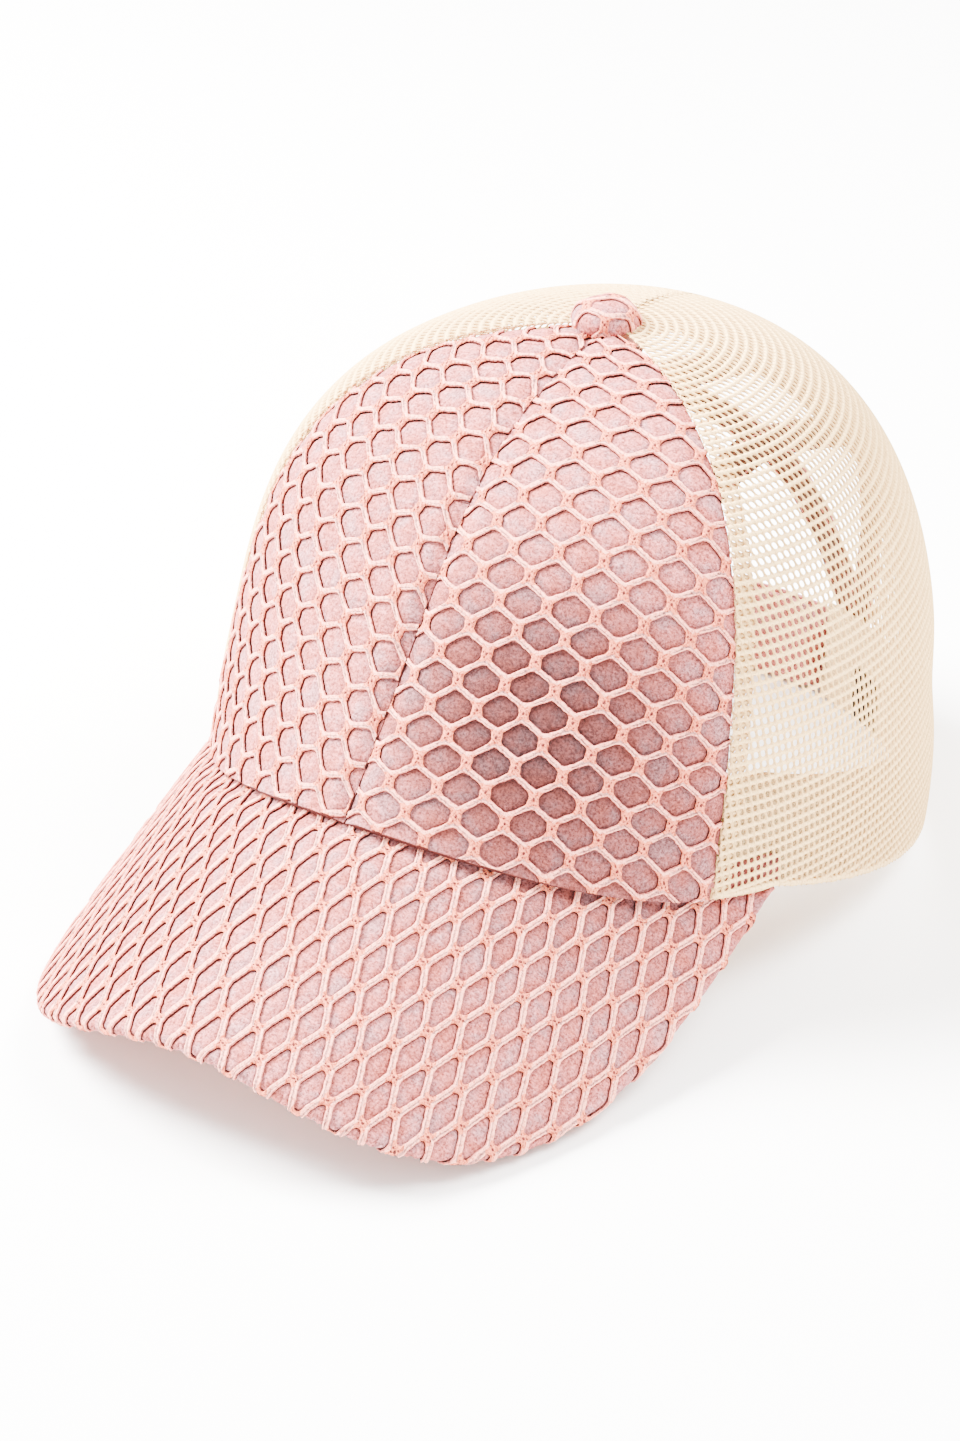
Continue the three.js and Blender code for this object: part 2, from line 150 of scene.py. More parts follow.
# Points on the back wall where it stands at x and z
def onBack(x, z, out=0.0):
    near = np.full(np.shape(x), math.radians(80))
    far = np.full(np.shape(x), math.radians(280))
    for _ in range(40):
        middle = (near + far) / 2
        tooFar = crownFace(middle, climbAt(middle, z))[..., 0] < x
        far = np.where(tooFar, middle, far)
        near = np.where(tooFar, near, middle)
    azimuth = (near + far) / 2
    return onCrown(azimuth, climbAt(azimuth, z), out)


def toFrame(points):
    return (np.asarray(points) + np.array([0, setBack, 0])) * mm


# sRGB hex to the linear colour that a node socket takes
def colour(hexText):
    parts = [int(hexText[i:i + 2], 16) / 255 for i in (1, 3, 5)]
    linear = [c / 12.92 if c <= 0.04045 else ((c + 0.055) / 1.055) ** 2.4 for c in parts]
    return (*linear, 1)


# Adds a node with its values, links and settings. stops are a ramp's steps: position and colour.
def node(tree, kind, values=None, links=None, stops=(), **settings):
    new = tree.nodes.new("ShaderNode" + kind)
    for name, value in settings.items():
        setattr(new, name, value)
    for socket, value in (values or {}).items():
        new.inputs[socket].default_value = value
    for socket, source in (links or {}).items():
        tree.links.new(source, new.inputs[socket])
    for index, (position, shade) in enumerate(stops):
        steps = new.color_ramp.elements
        step = steps[index] if index < 2 else steps.new(position)
        step.position = position
        step.color = shade
    return new


def newMaterial(name):
    material = bpy.data.materials.new(name)
    material.use_nodes = True
    tree = material.node_tree
    tree.nodes.clear()
    shader = node(tree, "BsdfPrincipled", {"Specular IOR Level": 0.25, "Sheen Roughness": 0.45})
    node(tree, "OutputMaterial", links={"Surface": shader.outputs["BSDF"]}).is_active_output = True
    return material, tree, shader, node(tree, "TexCoord").outputs["Object"]


def setFaces(tree, shader, tone, roughness, height=None, depth=0.1, sheen=0.0, tint="#ffffff"):
    tree.links.new(tone, shader.inputs["Base Color"])
    for socket, value in (("Roughness", roughness), ("Sheen Weight", sheen), ("Sheen Tint", colour(tint))):
        shader.inputs[socket].default_value = value
    if height is not None:
        bump = node(tree, "Bump", {"Strength": 1.0, "Distance": depth * mm}, {"Height": height})
        tree.links.new(bump.outputs["Normal"], shader.inputs["Normal"])


# Faux suede, a brushed polyester knit: short matt nap, half-millimetre grain, faint brushed scratches.
# Painted shade: the cloth is darkened in soft spots low on the left front panel, where it turns away from the
# light; each spot has middle, reach and strength.
paintedShadeSpots = [((30, -46, 79), 47, 0.76), ((44, -33, 49), 61, 0.6)]


def makeSuede(name, base, warm, grey, sheen=0.2, shadeSpots=()):
    material, tree, shader, place = newMaterial(name)
    multiply = {"data_type": "RGBA", "blend_type": "MULTIPLY"}
    here = {"Vector": place}
    blotch = node(tree, "TexNoise", {"Scale": 1 / (6 * mm), "Detail": 4.0, "Roughness": 0.65}, here)
    grain = node(tree, "TexNoise", {"Scale": 1 / (0.62 * mm), "Detail": 3.0, "Roughness": 0.8}, here)
    drawn = node(tree, "Mapping", {"Rotation": (0.4, 0.7, 0.5), "Scale": (0.3, 1.5, 1.5)}, here)
    scratch = node(tree, "TexNoise", {"Scale": 1 / (1.1 * mm), "Detail": 2.0}, {"Vector": drawn.outputs[0]})
    tones = [(0.38, colour(grey)), (0.5, colour(base)), (0.64, colour(warm))]
    tone = node(tree, "ValToRGB", links={"Fac": blotch.outputs["Fac"]}, stops=tones).outputs["Color"]
    for source, stops in ((grain, [(0.38, (0.42, 0.33, 0.33, 1)), (0.6, (1.4, 1.42, 1.42, 1))]),
                          (scratch, [(0.5, (1, 1, 1, 1)), (0.68, (1.35, 1.4, 1.42, 1))])):
        layer = node(tree, "ValToRGB", links={"Fac": source.outputs["Fac"]}, stops=stops)
        tone = node(tree, "Mix", {0: 1.0}, {6: tone, 7: layer.outputs["Color"]}, **multiply).outputs[2]
    # painted shade: each spot mixes the tone towards a dark mauve
    for middle, reach, strength in shadeSpots:
        spot = tuple(part * mm for part in middle)
        gap = node(tree, "VectorMath", {1: spot}, {0: place}, operation="DISTANCE")
        fade = {"From Min": reach * mm, "From Max": 0.2 * reach * mm, "To Max": strength}
        share = node(tree, "MapRange", fade, {"Value": gap.outputs["Value"]}, interpolation_type="SMOOTHSTEP")
        tone = node(tree, "Mix", {7: (0.13, 0.095, 0.095, 1)}, {0: share.outputs["Result"], 6: tone},
                    **multiply).outputs[2]
    setFaces(tree, shader, tone, 0.92, grain.outputs["Fac"], 0.25, sheen, base)
    return material


# Warp-knit yarn: matt polyester, fine ribs along the cloth, a little fuzz. The UV map called cloth
# holds the cloth's own millimetres.
def makeYarn(name, base, shade, ribMm=0.5, depth=0.18):
    material, tree, shader, place = newMaterial(name)
    flat = node(tree, "UVMap", uv_map="cloth").outputs["UV"]
    ribs = node(tree, "TexWave", {"Scale": 1 / (ribMm * 20 / math.pi), "Distortion": 1.5, "Detail": 2.0},
                {"Vector": flat}, wave_type="BANDS", bands_direction="DIAGONAL")
    fuzz = node(tree, "TexNoise", {"Scale": 1 / (0.55 * mm), "Detail": 3.0, "Roughness": 0.7},
                {"Vector": place})
    height = node(tree, "Math", links={0: ribs.outputs["Fac"], 1: fuzz.outputs["Fac"]}, operation="ADD")
    tone = node(tree, "ValToRGB", links={"Fac": fuzz.outputs["Fac"]},
                stops=[(0.41, colour(shade)), (0.5, colour(base))])
    setFaces(tree, shader, tone.outputs["Color"], 0.85, height.outputs["Value"], depth, 0.15, base)
    return material


# Plain woven tape: threads in both directions, with soft clouds of tone
def makeWeave(name, base, shade, threadMm=0.7, depth=0.15, roughness=0.9):
    material, tree, shader, place = newMaterial(name)
    flat = node(tree, "UVMap", uv_map="cloth").outputs["UV"]
    threads = {}
    for slot, way in enumerate("XY"):
        threads[slot] = node(tree, "TexWave", {"Scale": math.pi / (threadMm * 10), "Distortion": 0.6},
                             {"Vector": flat}, bands_direction=way).outputs["Fac"]
    height = node(tree, "Math", links=threads, operation="ADD")
    cloud = node(tree, "TexNoise", {"Scale": 1 / (5 * mm), "Detail": 4.0}, {"Vector": place})
    tone = node(tree, "ValToRGB", links={"Fac": cloud.outputs["Fac"]},
                stops=[(0.35, colour(shade)), (0.6, colour(base))])
    setFaces(tree, shader, tone.outputs["Color"], roughness, height.outputs["Value"], depth, 0.1, base)
    return material


plainSuede = makeSuede("brushed_faux_suede_plain", "#a9645d", "#9c564d", "#9a6a66")
suedeReverse = makeSuede("faux_suede_knit_back", "#603f30", "#583729", "#554034", 0.1)
# painted shade: dark maroon standing for the shadow in the crease under the net's cords; also the shade under
# turned edges and in the lining's seam gap
creaseShade = makeYarn("net_crease_painted_shade_maroon", "#4f1f1b", "#38130f")
netFinishes = {
    "yarn": makeYarn("warp_knit_net_yarn", "#ffa890", "#d2705f"),
    "knot": makeYarn("warp_knit_net_knots", "#ee7f5e", "#a8452f", 0.4, 0.4),
    "crease": creaseShade,
    "suede": makeSuede("brushed_faux_suede", "#a85f5b", "#9f5148", "#9c6869", shadeSpots=paintedShadeSpots),
    # painted shade: the dark colour of the knots' holes
    "hole": makeYarn("net_knot_holes_painted_shade", "#5c1f1a", "#481713"),
    # painted shade: darker copies of the yarn, whose plain colour above is the lit top of the cord; flank for
    # the cord's sloping sides, groove for the cord's dull middle dashes darkened on the shaded side
    "flank": makeYarn("warp_knit_net_yarn_flank_painted_shade", "#d27567", "#a05048", 0.4, 0.3),
    "groove": makeYarn("warp_knit_net_yarn_groove_painted_shade", "#c8857a", "#744a46", 0.35, 0.4),
}
kindOf = {name: index for index, name in enumerate(netFinishes)}
meshYarn = makeYarn("knitted_air_mesh_cream", "#f0cb8e", "#deb47a", 0.6, 0.12)
# painted shade: a darker copy of the mesh yarn for the upright threads between the raised bars
meshShadeThread = makeYarn("knitted_air_mesh_upright_thread_painted_shade", "#d9b277", "#c39b62", 0.6, 0.12)
liningCloth = makeWeave("stiff_lining_cloth", "#c08c80", "#b07d72", 0.8, 0.12)
backPlate = makeWeave("lacquered_back_plate", "#c08a80", "#b88076", 3.0, 0.0, 0.45)
bandWeave = makeWeave("woven_sweatband_cream", "#e4c690", "#d2b07c")
hookTape = makeWeave("black_hook_tape", "#120f0f", "#090707", 1.1, 0.5)
tagWeave = makeWeave("woven_tag_charcoal", "#120f0f", "#0c0a0a", 0.5)
threadPink = makeYarn("sewing_thread_rose", "#d98376", "#c06e62", 0.3)
threadCream = makeYarn("sewing_thread_cream", "#f0d09a", "#dab67e", 0.3)
print("cap: materials made")


def selectOnly(piece):
    if bpy.context.object and bpy.context.object.mode != "OBJECT":
        bpy.ops.object.mode_set(mode="OBJECT")
    bpy.ops.object.select_all(action="DESELECT")
    piece.select_set(True)
    bpy.context.view_layer.objects.active = piece


def applyModifier(piece, kind, **settings):
    selectOnly(piece)
    modifier = piece.modifiers.new(kind.lower(), kind)
    for name, value in settings.items():
        setattr(modifier, name, value)
    bpy.ops.object.modifier_apply(modifier=modifier.name)


def faceOut(piece):
    selectOnly(piece)
    bpy.ops.object.mode_set(mode="EDIT")
    bpy.ops.mesh.select_all(action="SELECT")
    bpy.ops.mesh.remove_doubles(threshold=0.00001)
    bpy.ops.mesh.normals_make_consistent(inside=False)
    bpy.ops.object.mode_set(mode="OBJECT")


def settle(piece, nodeName=None):
    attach(piece, "root")
    if nodeName:
        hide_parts(nodeName)


# Gives each corner of a mesh its vertex's place in the flat cloth
def layFlat(mesh, flat):
    corners = np.empty(len(mesh.loops), dtype=np.int32)
    mesh.loops.foreach_get("vertex_index", corners)
    layer = mesh.uv_layers.new(name="cloth")
    layer.data.foreach_set("uv", np.asarray(flat, dtype=np.float32)[corners].ravel())


# Makes a piece from points in the crown's millimetres. wall gives open cloth a thickness, and a
# closed skin has its faces turned outwards.
def addPiece(name, points, faces, finishes, kinds, flat, nodeName=None, wall=0, closed=False):
    mesh = bpy.data.meshes.new(name)
    mesh.from_pydata(toFrame(points).tolist(), [], faces)
    for finish in finishes:
        mesh.materials.append(finish)
    mesh.polygons.foreach_set("material_index", np.asarray(kinds, dtype=np.int32))
    mesh.polygons.foreach_set("use_smooth", np.full(len(mesh.polygons), True))
    layFlat(mesh, flat)
    mesh.update()
    piece = bpy.data.objects.new(name, mesh)
    bpy.context.scene.collection.objects.link(piece)
    if wall:
        applyModifier(piece, "SOLIDIFY", thickness=wall * mm, offset=-1.0)
    if closed:
        faceOut(piece)
    settle(piece, nodeName)


# Cuts faces where the keep value falls below nought. A point is a row of numbers.
def trimCloth(points, faces, kinds, keep):
    inside = (keep > 0).tolist()
    worth = keep.tolist()
    rows = list(points)
    cuts = {}
    keptFaces = []
    keptKinds = []
    for face, kind in zip(faces, kinds):
        here = [inside[i] for i in face]
        if not any(here):
            continue
        if all(here):
            keptFaces.append(face)
            keptKinds.append(kind)
            continue
        outline = []
        for start, end in zip(face, face[1:] + face[:1]):
            if inside[start]:
                outline.append(start)
            if inside[start] != inside[end]:
                edge = (min(start, end), max(start, end))
                if edge not in cuts:
                    share = worth[edge[0]] / (worth[edge[0]] - worth[edge[1]])
                    cuts[edge] = len(rows)
                    rows.append(rows[edge[0]] + (rows[edge[1]] - rows[edge[0]]) * share)
                outline.append(cuts[edge])
        keptFaces.append(tuple(outline))
        keptKinds.append(kind)
    return np.array(rows), keptFaces, keptKinds


# Trims by one limit after another, each worked out only for what is left, and drops loose points
def trimAll(points, faces, kinds, limits):
    for limit in limits:
        points, faces, kinds = trimCloth(points, faces, kinds, limit(points))
        used = sorted({i for face in faces for i in face})
        newIndex = {old: new for new, old in enumerate(used)}
        points = points[used]
        faces = [tuple(newIndex[i] for i in face) for face in faces]
    return points, faces, kinds


# Turns the raw edge under: a strip from each open edge down to a depth, coloured as painted shade in dark
# maroon. Column 2 is the height.
def turnEdgeUnder(points, faces, kinds, depth):
    edges = {}
    for face in faces:
        for start, end in zip(face, face[1:] + face[:1]):
            key = (min(start, end), max(start, end))
            edges[key] = None if key in edges else (start, end)
    rim = [edge for edge in edges.values() if edge]
    below = {}
    rows = list(points)
    for i in (i for edge in rim for i in edge):
        if i not in below:
            row = points[i].copy()
            row[2] = depth
            below[i] = len(rows)
            rows.append(row)
    faces = faces + [(end, start, below[start], below[end]) for start, end in rim]
    return np.array(rows), faces, kinds + [kindOf["crease"]] * len(rim)


# The netted cloth, flat: one cell is shaped, then repeated in staggered rows
net = {
    "across": 10.9,
    "upTwoRows": 12.3,
    "knotHalfHeight": 1.38,
    "knotHalfWidth": 1.2,
    "cordHalfWidth": 0.66,
    "sidePoints": 4,
    "slopePoints": 6,
    # the way, in the flat cloth, to the side of a cell where its painted shade shows: the dark maroon crease
    # and the dull band in the cord
    "shadedWay": (0.7, 1),
    # share of the way from cord middle to cell edge, height over a cord, height over a knot
    "cordRings": [(0.0, 0.66, 0.78), (0.5, 0.92, 0.86), (0.8, 0.84, 0.74), (1.0, 0.5, 0.46)],
    # share of the cell edge's distance from the cell's middle, height
    "cellRings": [(1.0, -0.15), (0.92, 0.02), (0.78, 0.2), (0.5, 0.3)],
    "cellTop": 0.34,
}


def cellOutline(law, halfAcross, apex, sideHalf):
    corners = [(halfAcross, -sideHalf), (halfAcross, sideHalf), (0, apex),
               (-halfAcross, sideHalf), (-halfAcross, -sideHalf), (0, -apex)]
    outline = []
    for index, (x0, y0) in enumerate(corners):
        x1, y1 = corners[(index + 1) % 6]
        count = law["slopePoints"] if index % 3 else law["sidePoints"]
        for step in range(count):
            share = step / count
            outline.append((x0 + (x1 - x0) * share, y0 + (y1 - y0) * share))
    return np.array(outline)


def netCell(law):
    halfAcross, knotHalf = law["across"] / 2, law["knotHalfHeight"]
    apex = law["upTwoRows"] / 2 - knotHalf
    slope = math.atan2(apex - knotHalf, halfAcross)
    holeAcross = halfAcross - law["knotHalfWidth"]
    holeApex = apex - law["cordHalfWidth"] / math.cos(slope)
    outer = cellOutline(law, halfAcross, apex, knotHalf)
    hole = cellOutline(law, holeAcross, holeApex, holeApex - holeAcross * math.tan(slope))
    hole = (np.roll(hole, 1, 0) + 2 * hole + np.roll(hole, -1, 0)) / 4
    around = len(outer)
    overKnot = np.clip((np.abs(outer[:, 0]) - halfAcross + 1.6) / 1.2, 0, 1)
    onKnot = overKnot + np.roll(overKnot, -1) > 1.2
    shaded = (outer + np.roll(outer, -1, 0)) @ np.array(law["shadedWay"]) > 0
    rings = [np.column_stack([outer + (hole - outer) * share, cord + (knot - cord) * overKnot])
             for share, cord, knot in law["cordRings"]]
    lastCord = len(rings) - 1
    rings.append(rings[lastCord])
    rings += [np.column_stack([hole * share, np.full(around, height)]) for share, height in law["cellRings"]]
    faces = []
    kinds = []
    for ring in range(len(rings)):
        low = ring * around
        high = low + around
        for step in range(around):
            after = (step + 1) % around
            if ring == len(rings) - 1:
                faces.append((low + step, low + after, high))
            elif ring != lastCord:
                faces.append((low + step, low + after, high + after, high + step))
            else:
                continue
            if ring > lastCord:
                # painted shade: the crease on the cell's shaded side is dark maroon, on the other side plain
                # suede
                kind = "crease" if ring == lastCord + 1 and shaded[step] else "suede"
            elif onKnot[step]:
                kind = "knot"
            elif ring == lastCord - 1:
                # painted shade on the cord's sloping side
                kind = "flank"
            else:
                # painted shade: the cord's dull middle band, only on the cell's shaded side
                kind = "groove" if ring == 0 and shaded[step] else "yarn"
            kinds.append(kindOf[kind])
    return np.vstack(rings + [[[0, 0, law["cellTop"]]]]), faces, kinds, around


# Small holes in each knot, as dark dots just over its yarn: the suede seen through each hole, darkened as
# painted shade of its depth
def knotDots(law, seed):
    dice = random.Random(seed)
    rise = 0.55 + 0.5 * law["knotHalfHeight"]
    spots = [(0, 0, 0.34)]
    for turn in range(4):
        angle = math.radians(90 * turn + dice.uniform(-25, 25) + 45)
        reach = dice.uniform(0.75, 1.0)
        radius = dice.uniform(0.16, 0.24)
        spots.append((reach * math.cos(angle) * 0.85, reach * math.sin(angle) * rise, radius))
    corners = np.radians(np.arange(0, 360, 60))
    dots = [np.column_stack([law["across"] / 2 + x + radius * np.cos(corners),
                             y + radius * 1.2 * np.sin(corners), np.full(6, 0.84)]) for x, y, radius in spots]
    return np.vstack(dots), [tuple(range(start, start + 6)) for start in range(0, 30, 6)]


# Cells in staggered rows round the one at phase. wanted says of each cell's middle whether to keep it.
def netCloth(law, columns, rows, phase, wanted):
    cellPoints, cellFaces, cellKinds, around = netCell(law)
    points = []
    faces = []
    kinds = []
    shared = []
    count = 0
    for row in range(rows[0], rows[1] + 1):
        for column in range(columns[0], columns[1] + 1):
            place = np.array([phase[0] + (column + 0.5 * (row % 2)) * law["across"],
                              phase[1] + row * law["upTwoRows"] / 2, 0])
            if not wanted(place):
                continue
            shared += range(count, count + around)
            dots, dotFaces = knotDots(law, row * 131 + column)
            for part, partFaces in ((cellPoints, cellFaces), (dots, dotFaces)):
                points.append(part + place)
                faces += [tuple(i + count for i in face) for face in partFaces]
                count += len(part)
            kinds += cellKinds + [kindOf["hole"]] * len(dotFaces)
    points = np.vstack(points)
    # neighbouring cells share the points of their common edge
    keys = np.round(points * 200).astype(np.int64)
    first = {}
    same = list(range(len(points)))
    for i in shared:
        same[i] = first.setdefault((keys[i, 0], keys[i, 1]), i)
    return points, [tuple(same[i] for i in face) for face in faces], kinds


# Soft unevenness of a sewn cloth: how far its pattern wanders, in millimetres
def wander(points, amount=0.28):
    u, v = points[:, 0], points[:, 1]
    points[:, 0] = u + amount * (np.sin(v / 8.3 + 1.7 * np.sin(u / 14.1)) + 0.5 * np.sin(v / 3.4 + u / 5.9))
    points[:, 1] = v + amount * (np.sin(u / 9.7 + 1.3 * np.sin(v / 12.7)) + 0.5 * np.sin(u / 3.9 - v / 6.1))
    # the loops of the yarn, about 2 mm apart
    points[:, 0] += 0.34 * amount * np.sin(2.9 * v + 1.3 * u)
    points[:, 1] += 0.34 * amount * np.sin(2.6 * u - 1.7 * v)
    points[:, 2] += 0.22 * amount * np.sin(3.1 * u + 0.8 * v) * np.sin(2.7 * v - 0.5 * u)
    return points


# Level rings round the crown that flat cloth is laid on, upright along one azimuth. The cloth's
# origin is where that azimuth meets the rim.
def crownRings(azimuth, low, high, lowest=-30.0):
    climbs = np.radians(89.8 * (1 - (1 - np.linspace(0, 1, 300)) ** 2))
    spine = crownFace(np.full(300, azimuth), climbs)
    length = runAlong(spine)
    above = np.linspace(0, length[-1], 130)
    below = np.linspace(lowest, 0, 16)[:-1]
    heights = np.concatenate([spine[0, 2] + below, np.interp(above, length, spine[:, 2])])
    azimuths = np.linspace(low, high, 140)
    across = []
    for z in heights:
        run = runAlong(crownFace(azimuths, climbAt(azimuths, np.full(140, z)))[:, :2])
        across.append(run - np.interp(azimuth, azimuths, run))
    return np.concatenate([below, above]), heights, azimuths, across


# Adds to each point its azimuth and level, from its place across and along the rings
def layOnRings(points, rings, u, v):
    levels, heights, azimuths, across = rings
    index = np.clip(np.searchsorted(levels, v) - 1, 0, len(levels) - 2)
    share = np.clip((v - levels[index]) / (levels[index + 1] - levels[index]), 0, 1)
    turn = np.empty(len(u))
    for level in np.unique(index):
        here = index == level
        low = np.interp(u[here], across[level], azimuths)
        high = np.interp(u[here], across[level + 1], azimuths)
        turn[here] = low + (high - low) * share[here]
    return np.column_stack([points, turn, np.interp(v, levels, heights)])


# Limits of cloth on the crown, whose rows hold flat place, height, azimuth and level
def aboveRim(rows):
    return rows[:, 4] - rimPlace(rows[:, 3])[2]


def pastApex(rows):
    return crownReach(rows[:, 3], rows[:, 4]) - crown["apexHole"]


# One netted front panel. side is 1 for the wearer's left, -1 for the right.
frontPanel = {
    "spine": 26,
    "seamGap": 0.2,
    "seamDip": 1.3,
    "seamDipWidth": 2.6,
    # the grain of each side's panel on its rings: flat place of one cell's middle, how its rows are
    # spread, how its columns lean, how its rows tilt at the rim and per millimetre up, and how they sag
    "grain": {1: {"cell": (0.2, 41.5), "spread": 1.0, "lean": 0.075, "tilt": (-0.2, 0.0030),
                  "sag": (0.0032, 0.0046)},
              -1: {"cell": (0.0, 40.9), "spread": 0.95, "lean": -0.085, "tilt": (0.1, -0.0042),
                   "sag": (0.0045, 0)}},
}


# Where a flat point of a panel's cloth comes to lie on its rings
def alongGrain(grain, points):
    u, v = points[:, 0], points[:, 1]
    tilt = grain["tilt"][0] + grain["tilt"][1] * v
    sag = grain["sag"][0] + grain["sag"][1] * (v / 100) ** 2
    across = u * grain["spread"] + grain["lean"] * (np.minimum(v, 77) - 60)
    return across, v + tilt * across - sag * across ** 2


# The flat point that comes to lie at a place on the rings
def againstGrain(grain, place):
    flat = np.array([place], dtype=float)
    for _ in range(12):
        across, along = alongGrain(grain, flat)
        flat = flat + np.array([place]) - np.column_stack([across, along])
    return flat[0]


def frontNet(side, name, nodeName):
    law = frontPanel
    grain = law["grain"][side]
    low, high = sorted([-0.12 * side, math.radians(76) * side])
    rings = crownRings(math.radians(law["spine"]) * side, low, high)

    def wanted(place):
        return -75 < place[0] < 75 and -30 < place[1] < 140

    # painted shade goes on each cell's top edge and on its side away from the front seam
    sideNet = dict(net, shadedWay=(0.7 * side, 1))
    points, faces, kinds = netCloth(sideNet, (-12, 12), (-20, 24), againstGrain(grain, grain["cell"]), wanted)
    points = wander(points)
    points = layOnRings(points, rings, *alongGrain(grain, points))
    limits = [
        lambda rows: rows[:, 3] * side * 90 - law["seamGap"],
        lambda rows: seamAt(climbAt(rows[:, 3], rows[:, 4])) - rows[:, 3] * side,
        aboveRim,
        pastApex,
    ]
    points, faces, kinds = turnEdgeUnder(*trimAll(points, faces, kinds, limits), -1.6)
    turn, z = points[:, 3], points[:, 4]
    climb = climbAt(turn, z)
    toSeam = (seamAt(climb) - turn * side) * crownReach(turn, z)
    toCentre = crownFace(turn, climb)[:, 0]
    dip = np.exp(-(toCentre / law["seamDipWidth"]) ** 2) + np.exp(-(toSeam / law["seamDipWidth"]) ** 2)
    place = onCrown(turn, climb, points[:, 2] - law["seamDip"] * dip)
    addPiece(name, place, faces, netFinishes.values(), kinds, points[:, :2], nodeName)


frontNet(1, "front_net_left", "front_panel_left")
frontNet(-1, "front_net_right", "front_panel_right")
print("cap: front panels laid")


# Nearest place on a closed outline that runs anticlockwise: gap (outside is positive), place and
# outward direction
def nearOutline(points, ring):
    along = np.roll(ring, -1, 0) - ring
    lengthSquared = (along ** 2).sum(1)
    outward = np.column_stack([along[:, 1], -along[:, 0]]) / np.sqrt(lengthSquared)[:, None]
    cornerOut = unit(outward + np.roll(outward, 1, 0))
    gaps, places, directions = [], [], []
    for start in range(0, len(points), 4000):
        part = points[start:start + 4000]
        offset = part[:, None] - ring[None]
        share = np.clip((offset * along).sum(2) / lengthSquared, 0, 1)
        reach = offset - share[..., None] * along
        best = (reach ** 2).sum(2).argmin(1)
        share = share[np.arange(len(part)), best][:, None]
        place = ring[best] + along[best] * share
        direction = unit(cornerOut[best] * (1 - share) + cornerOut[(best + 1) % len(ring)] * share)
        side = np.where(((part - place) * direction).sum(1) < 0, -1, 1)
        gaps.append(np.linalg.norm(part - place, axis=1) * side)
        places.append(place)
        directions.append(direction)
    return np.concatenate(gaps), np.vstack(places), np.vstack(directions)


# Points at even distances along a line of points
def evenly(points, spacing, closed=False):
    line = np.vstack([points, points[:1]]) if closed else np.asarray(points)
    run = runAlong(line)
    count = max(2, int(round(run[-1] / spacing)))
    stops = np.linspace(0, run[-1], count + 1)[:count if closed else None]
    return np.column_stack([np.interp(stops, run, line[:, axis]) for axis in range(line.shape[1])])


# A smooth curve through points, passing each one evenly in time
def throughPoints(points, steps):
    points = np.asarray(points, dtype=float)
    last = len(points) - 1
    curve = []
    for moment in np.linspace(0, last, steps):
        index = min(int(moment), last - 1)
        share = moment - index
        before, start, end, after = points[[max(index - 1, 0), index, index + 1, min(index + 2, last)]]
        leave, arrive = (end - before) / 2, (after - start) / 2
        curve.append((2 * start - 2 * end + leave + arrive) * share ** 3
                     + (-3 * start + 3 * end - 2 * leave - arrive) * share ** 2 + leave * share + start)
    return np.array(curve)


# The peak's cloth lies on a sheet that bends one way only, so it can be laid without stretching
peak = {
    "reach": 62,
    "halfWidth": 78,
    "squareness": 3,
    "rollRadius": 1.05,
    "netDepth": 0.8,
    "edgeInset": 2.0,
    "turnedUnder": 6.0,
    "rimTuck": 2.5,
    "rimDip": 1.5,
    "rimDipWidth": 3.2,
    # the cloth is drawn out from front to back, so its cells are slanted and pointed, with small knots
    "net": dict(net, across=13.2, upTwoRows=8.8, knotHalfHeight=0.95, knotHalfWidth=1.25, cordHalfWidth=0.76,
                sidePoints=3, shadedWay=(1, 0)),
    "cellAt": (12.6, -133.9),
    # under the peak the same net has fewer points
    "underNet": {"sidePoints": 2, "slopePoints": 4, "cellRings": [(0.95, 0.0), (0.85, 0.3)],
                 "cordRings": [(0.0, 0.9, 0.7), (0.6, 0.9, 0.74), (1.0, 0.5, 0.5)]},
    "undersideCellAt": (4.0, -128.0),
}
peakTilt = math.atan(crown["peakSlope"])
peakSteps = np.linspace(-95, 95, 761)
peakSteepness = 2 * crown["peakArch"] * math.cos(peakTilt) * peakSteps
peakStretch = np.hypot(1, peakSteepness)
peakArcs = np.concatenate([[0], np.cumsum(np.diff(peakSteps) * (peakStretch[1:] + peakStretch[:-1]) / 2)])
peakArcs = peakArcs - np.interp(0, peakSteps, peakArcs)


def peakToFlat(x, y):
    along = y / math.cos(peakTilt) - crown["peakArch"] * math.sin(peakTilt) * x * x
    return np.stack([np.interp(x, peakSteps, peakArcs), along], -1)


def peakFromFlat(flat):
    x = np.interp(flat[:, 0], peakArcs, peakSteps)
    y = math.cos(peakTilt) * (flat[:, 1] + crown["peakArch"] * math.sin(peakTilt) * x * x)
    return np.column_stack([x, y, peakSheet(x, y)])


# Directions of the sheet at flat places: across, along and out of it
def peakDirections(flat):
    x = np.interp(flat[:, 0], peakArcs, peakSteps)
    steepness = -2 * crown["peakArch"] * math.cos(peakTilt) * x
    upright = np.array([0, -math.sin(peakTilt), math.cos(peakTilt)])
    across = unit(np.array([1, 0, 0]) + steepness[:, None] * upright)
    along = np.tile([0, math.cos(peakTilt), math.sin(peakTilt)], (len(x), 1))
    return across, along, np.cross(across, along)


def peakOutline(inset):
    angle = np.linspace(-math.pi / 2, math.pi / 2, 1201)
    power = 2 / peak["squareness"]
    x = peak["halfWidth"] * np.sign(angle) * np.abs(np.sin(angle)) ** power
    y = peakEndY - (crown["frontReach"] + peak["reach"] + peakEndY) * np.abs(np.cos(angle)) ** power
    x = np.concatenate([[x[0], x[0]], x, [x[-1], x[-1]]])
    y = np.concatenate([[-5, -20], y, [-20, -5]])
    ring = evenly(peakToFlat(x, y), 1.0, closed=True)
    return ring - nearOutline(ring, ring)[2] * inset


def peakRimGap(flat):
    place = peakFromFlat(flat)
    return (np.hypot(place[:, 0] / crown["halfWidth"], place[:, 1] / crown["frontReach"]) - 1) * 92


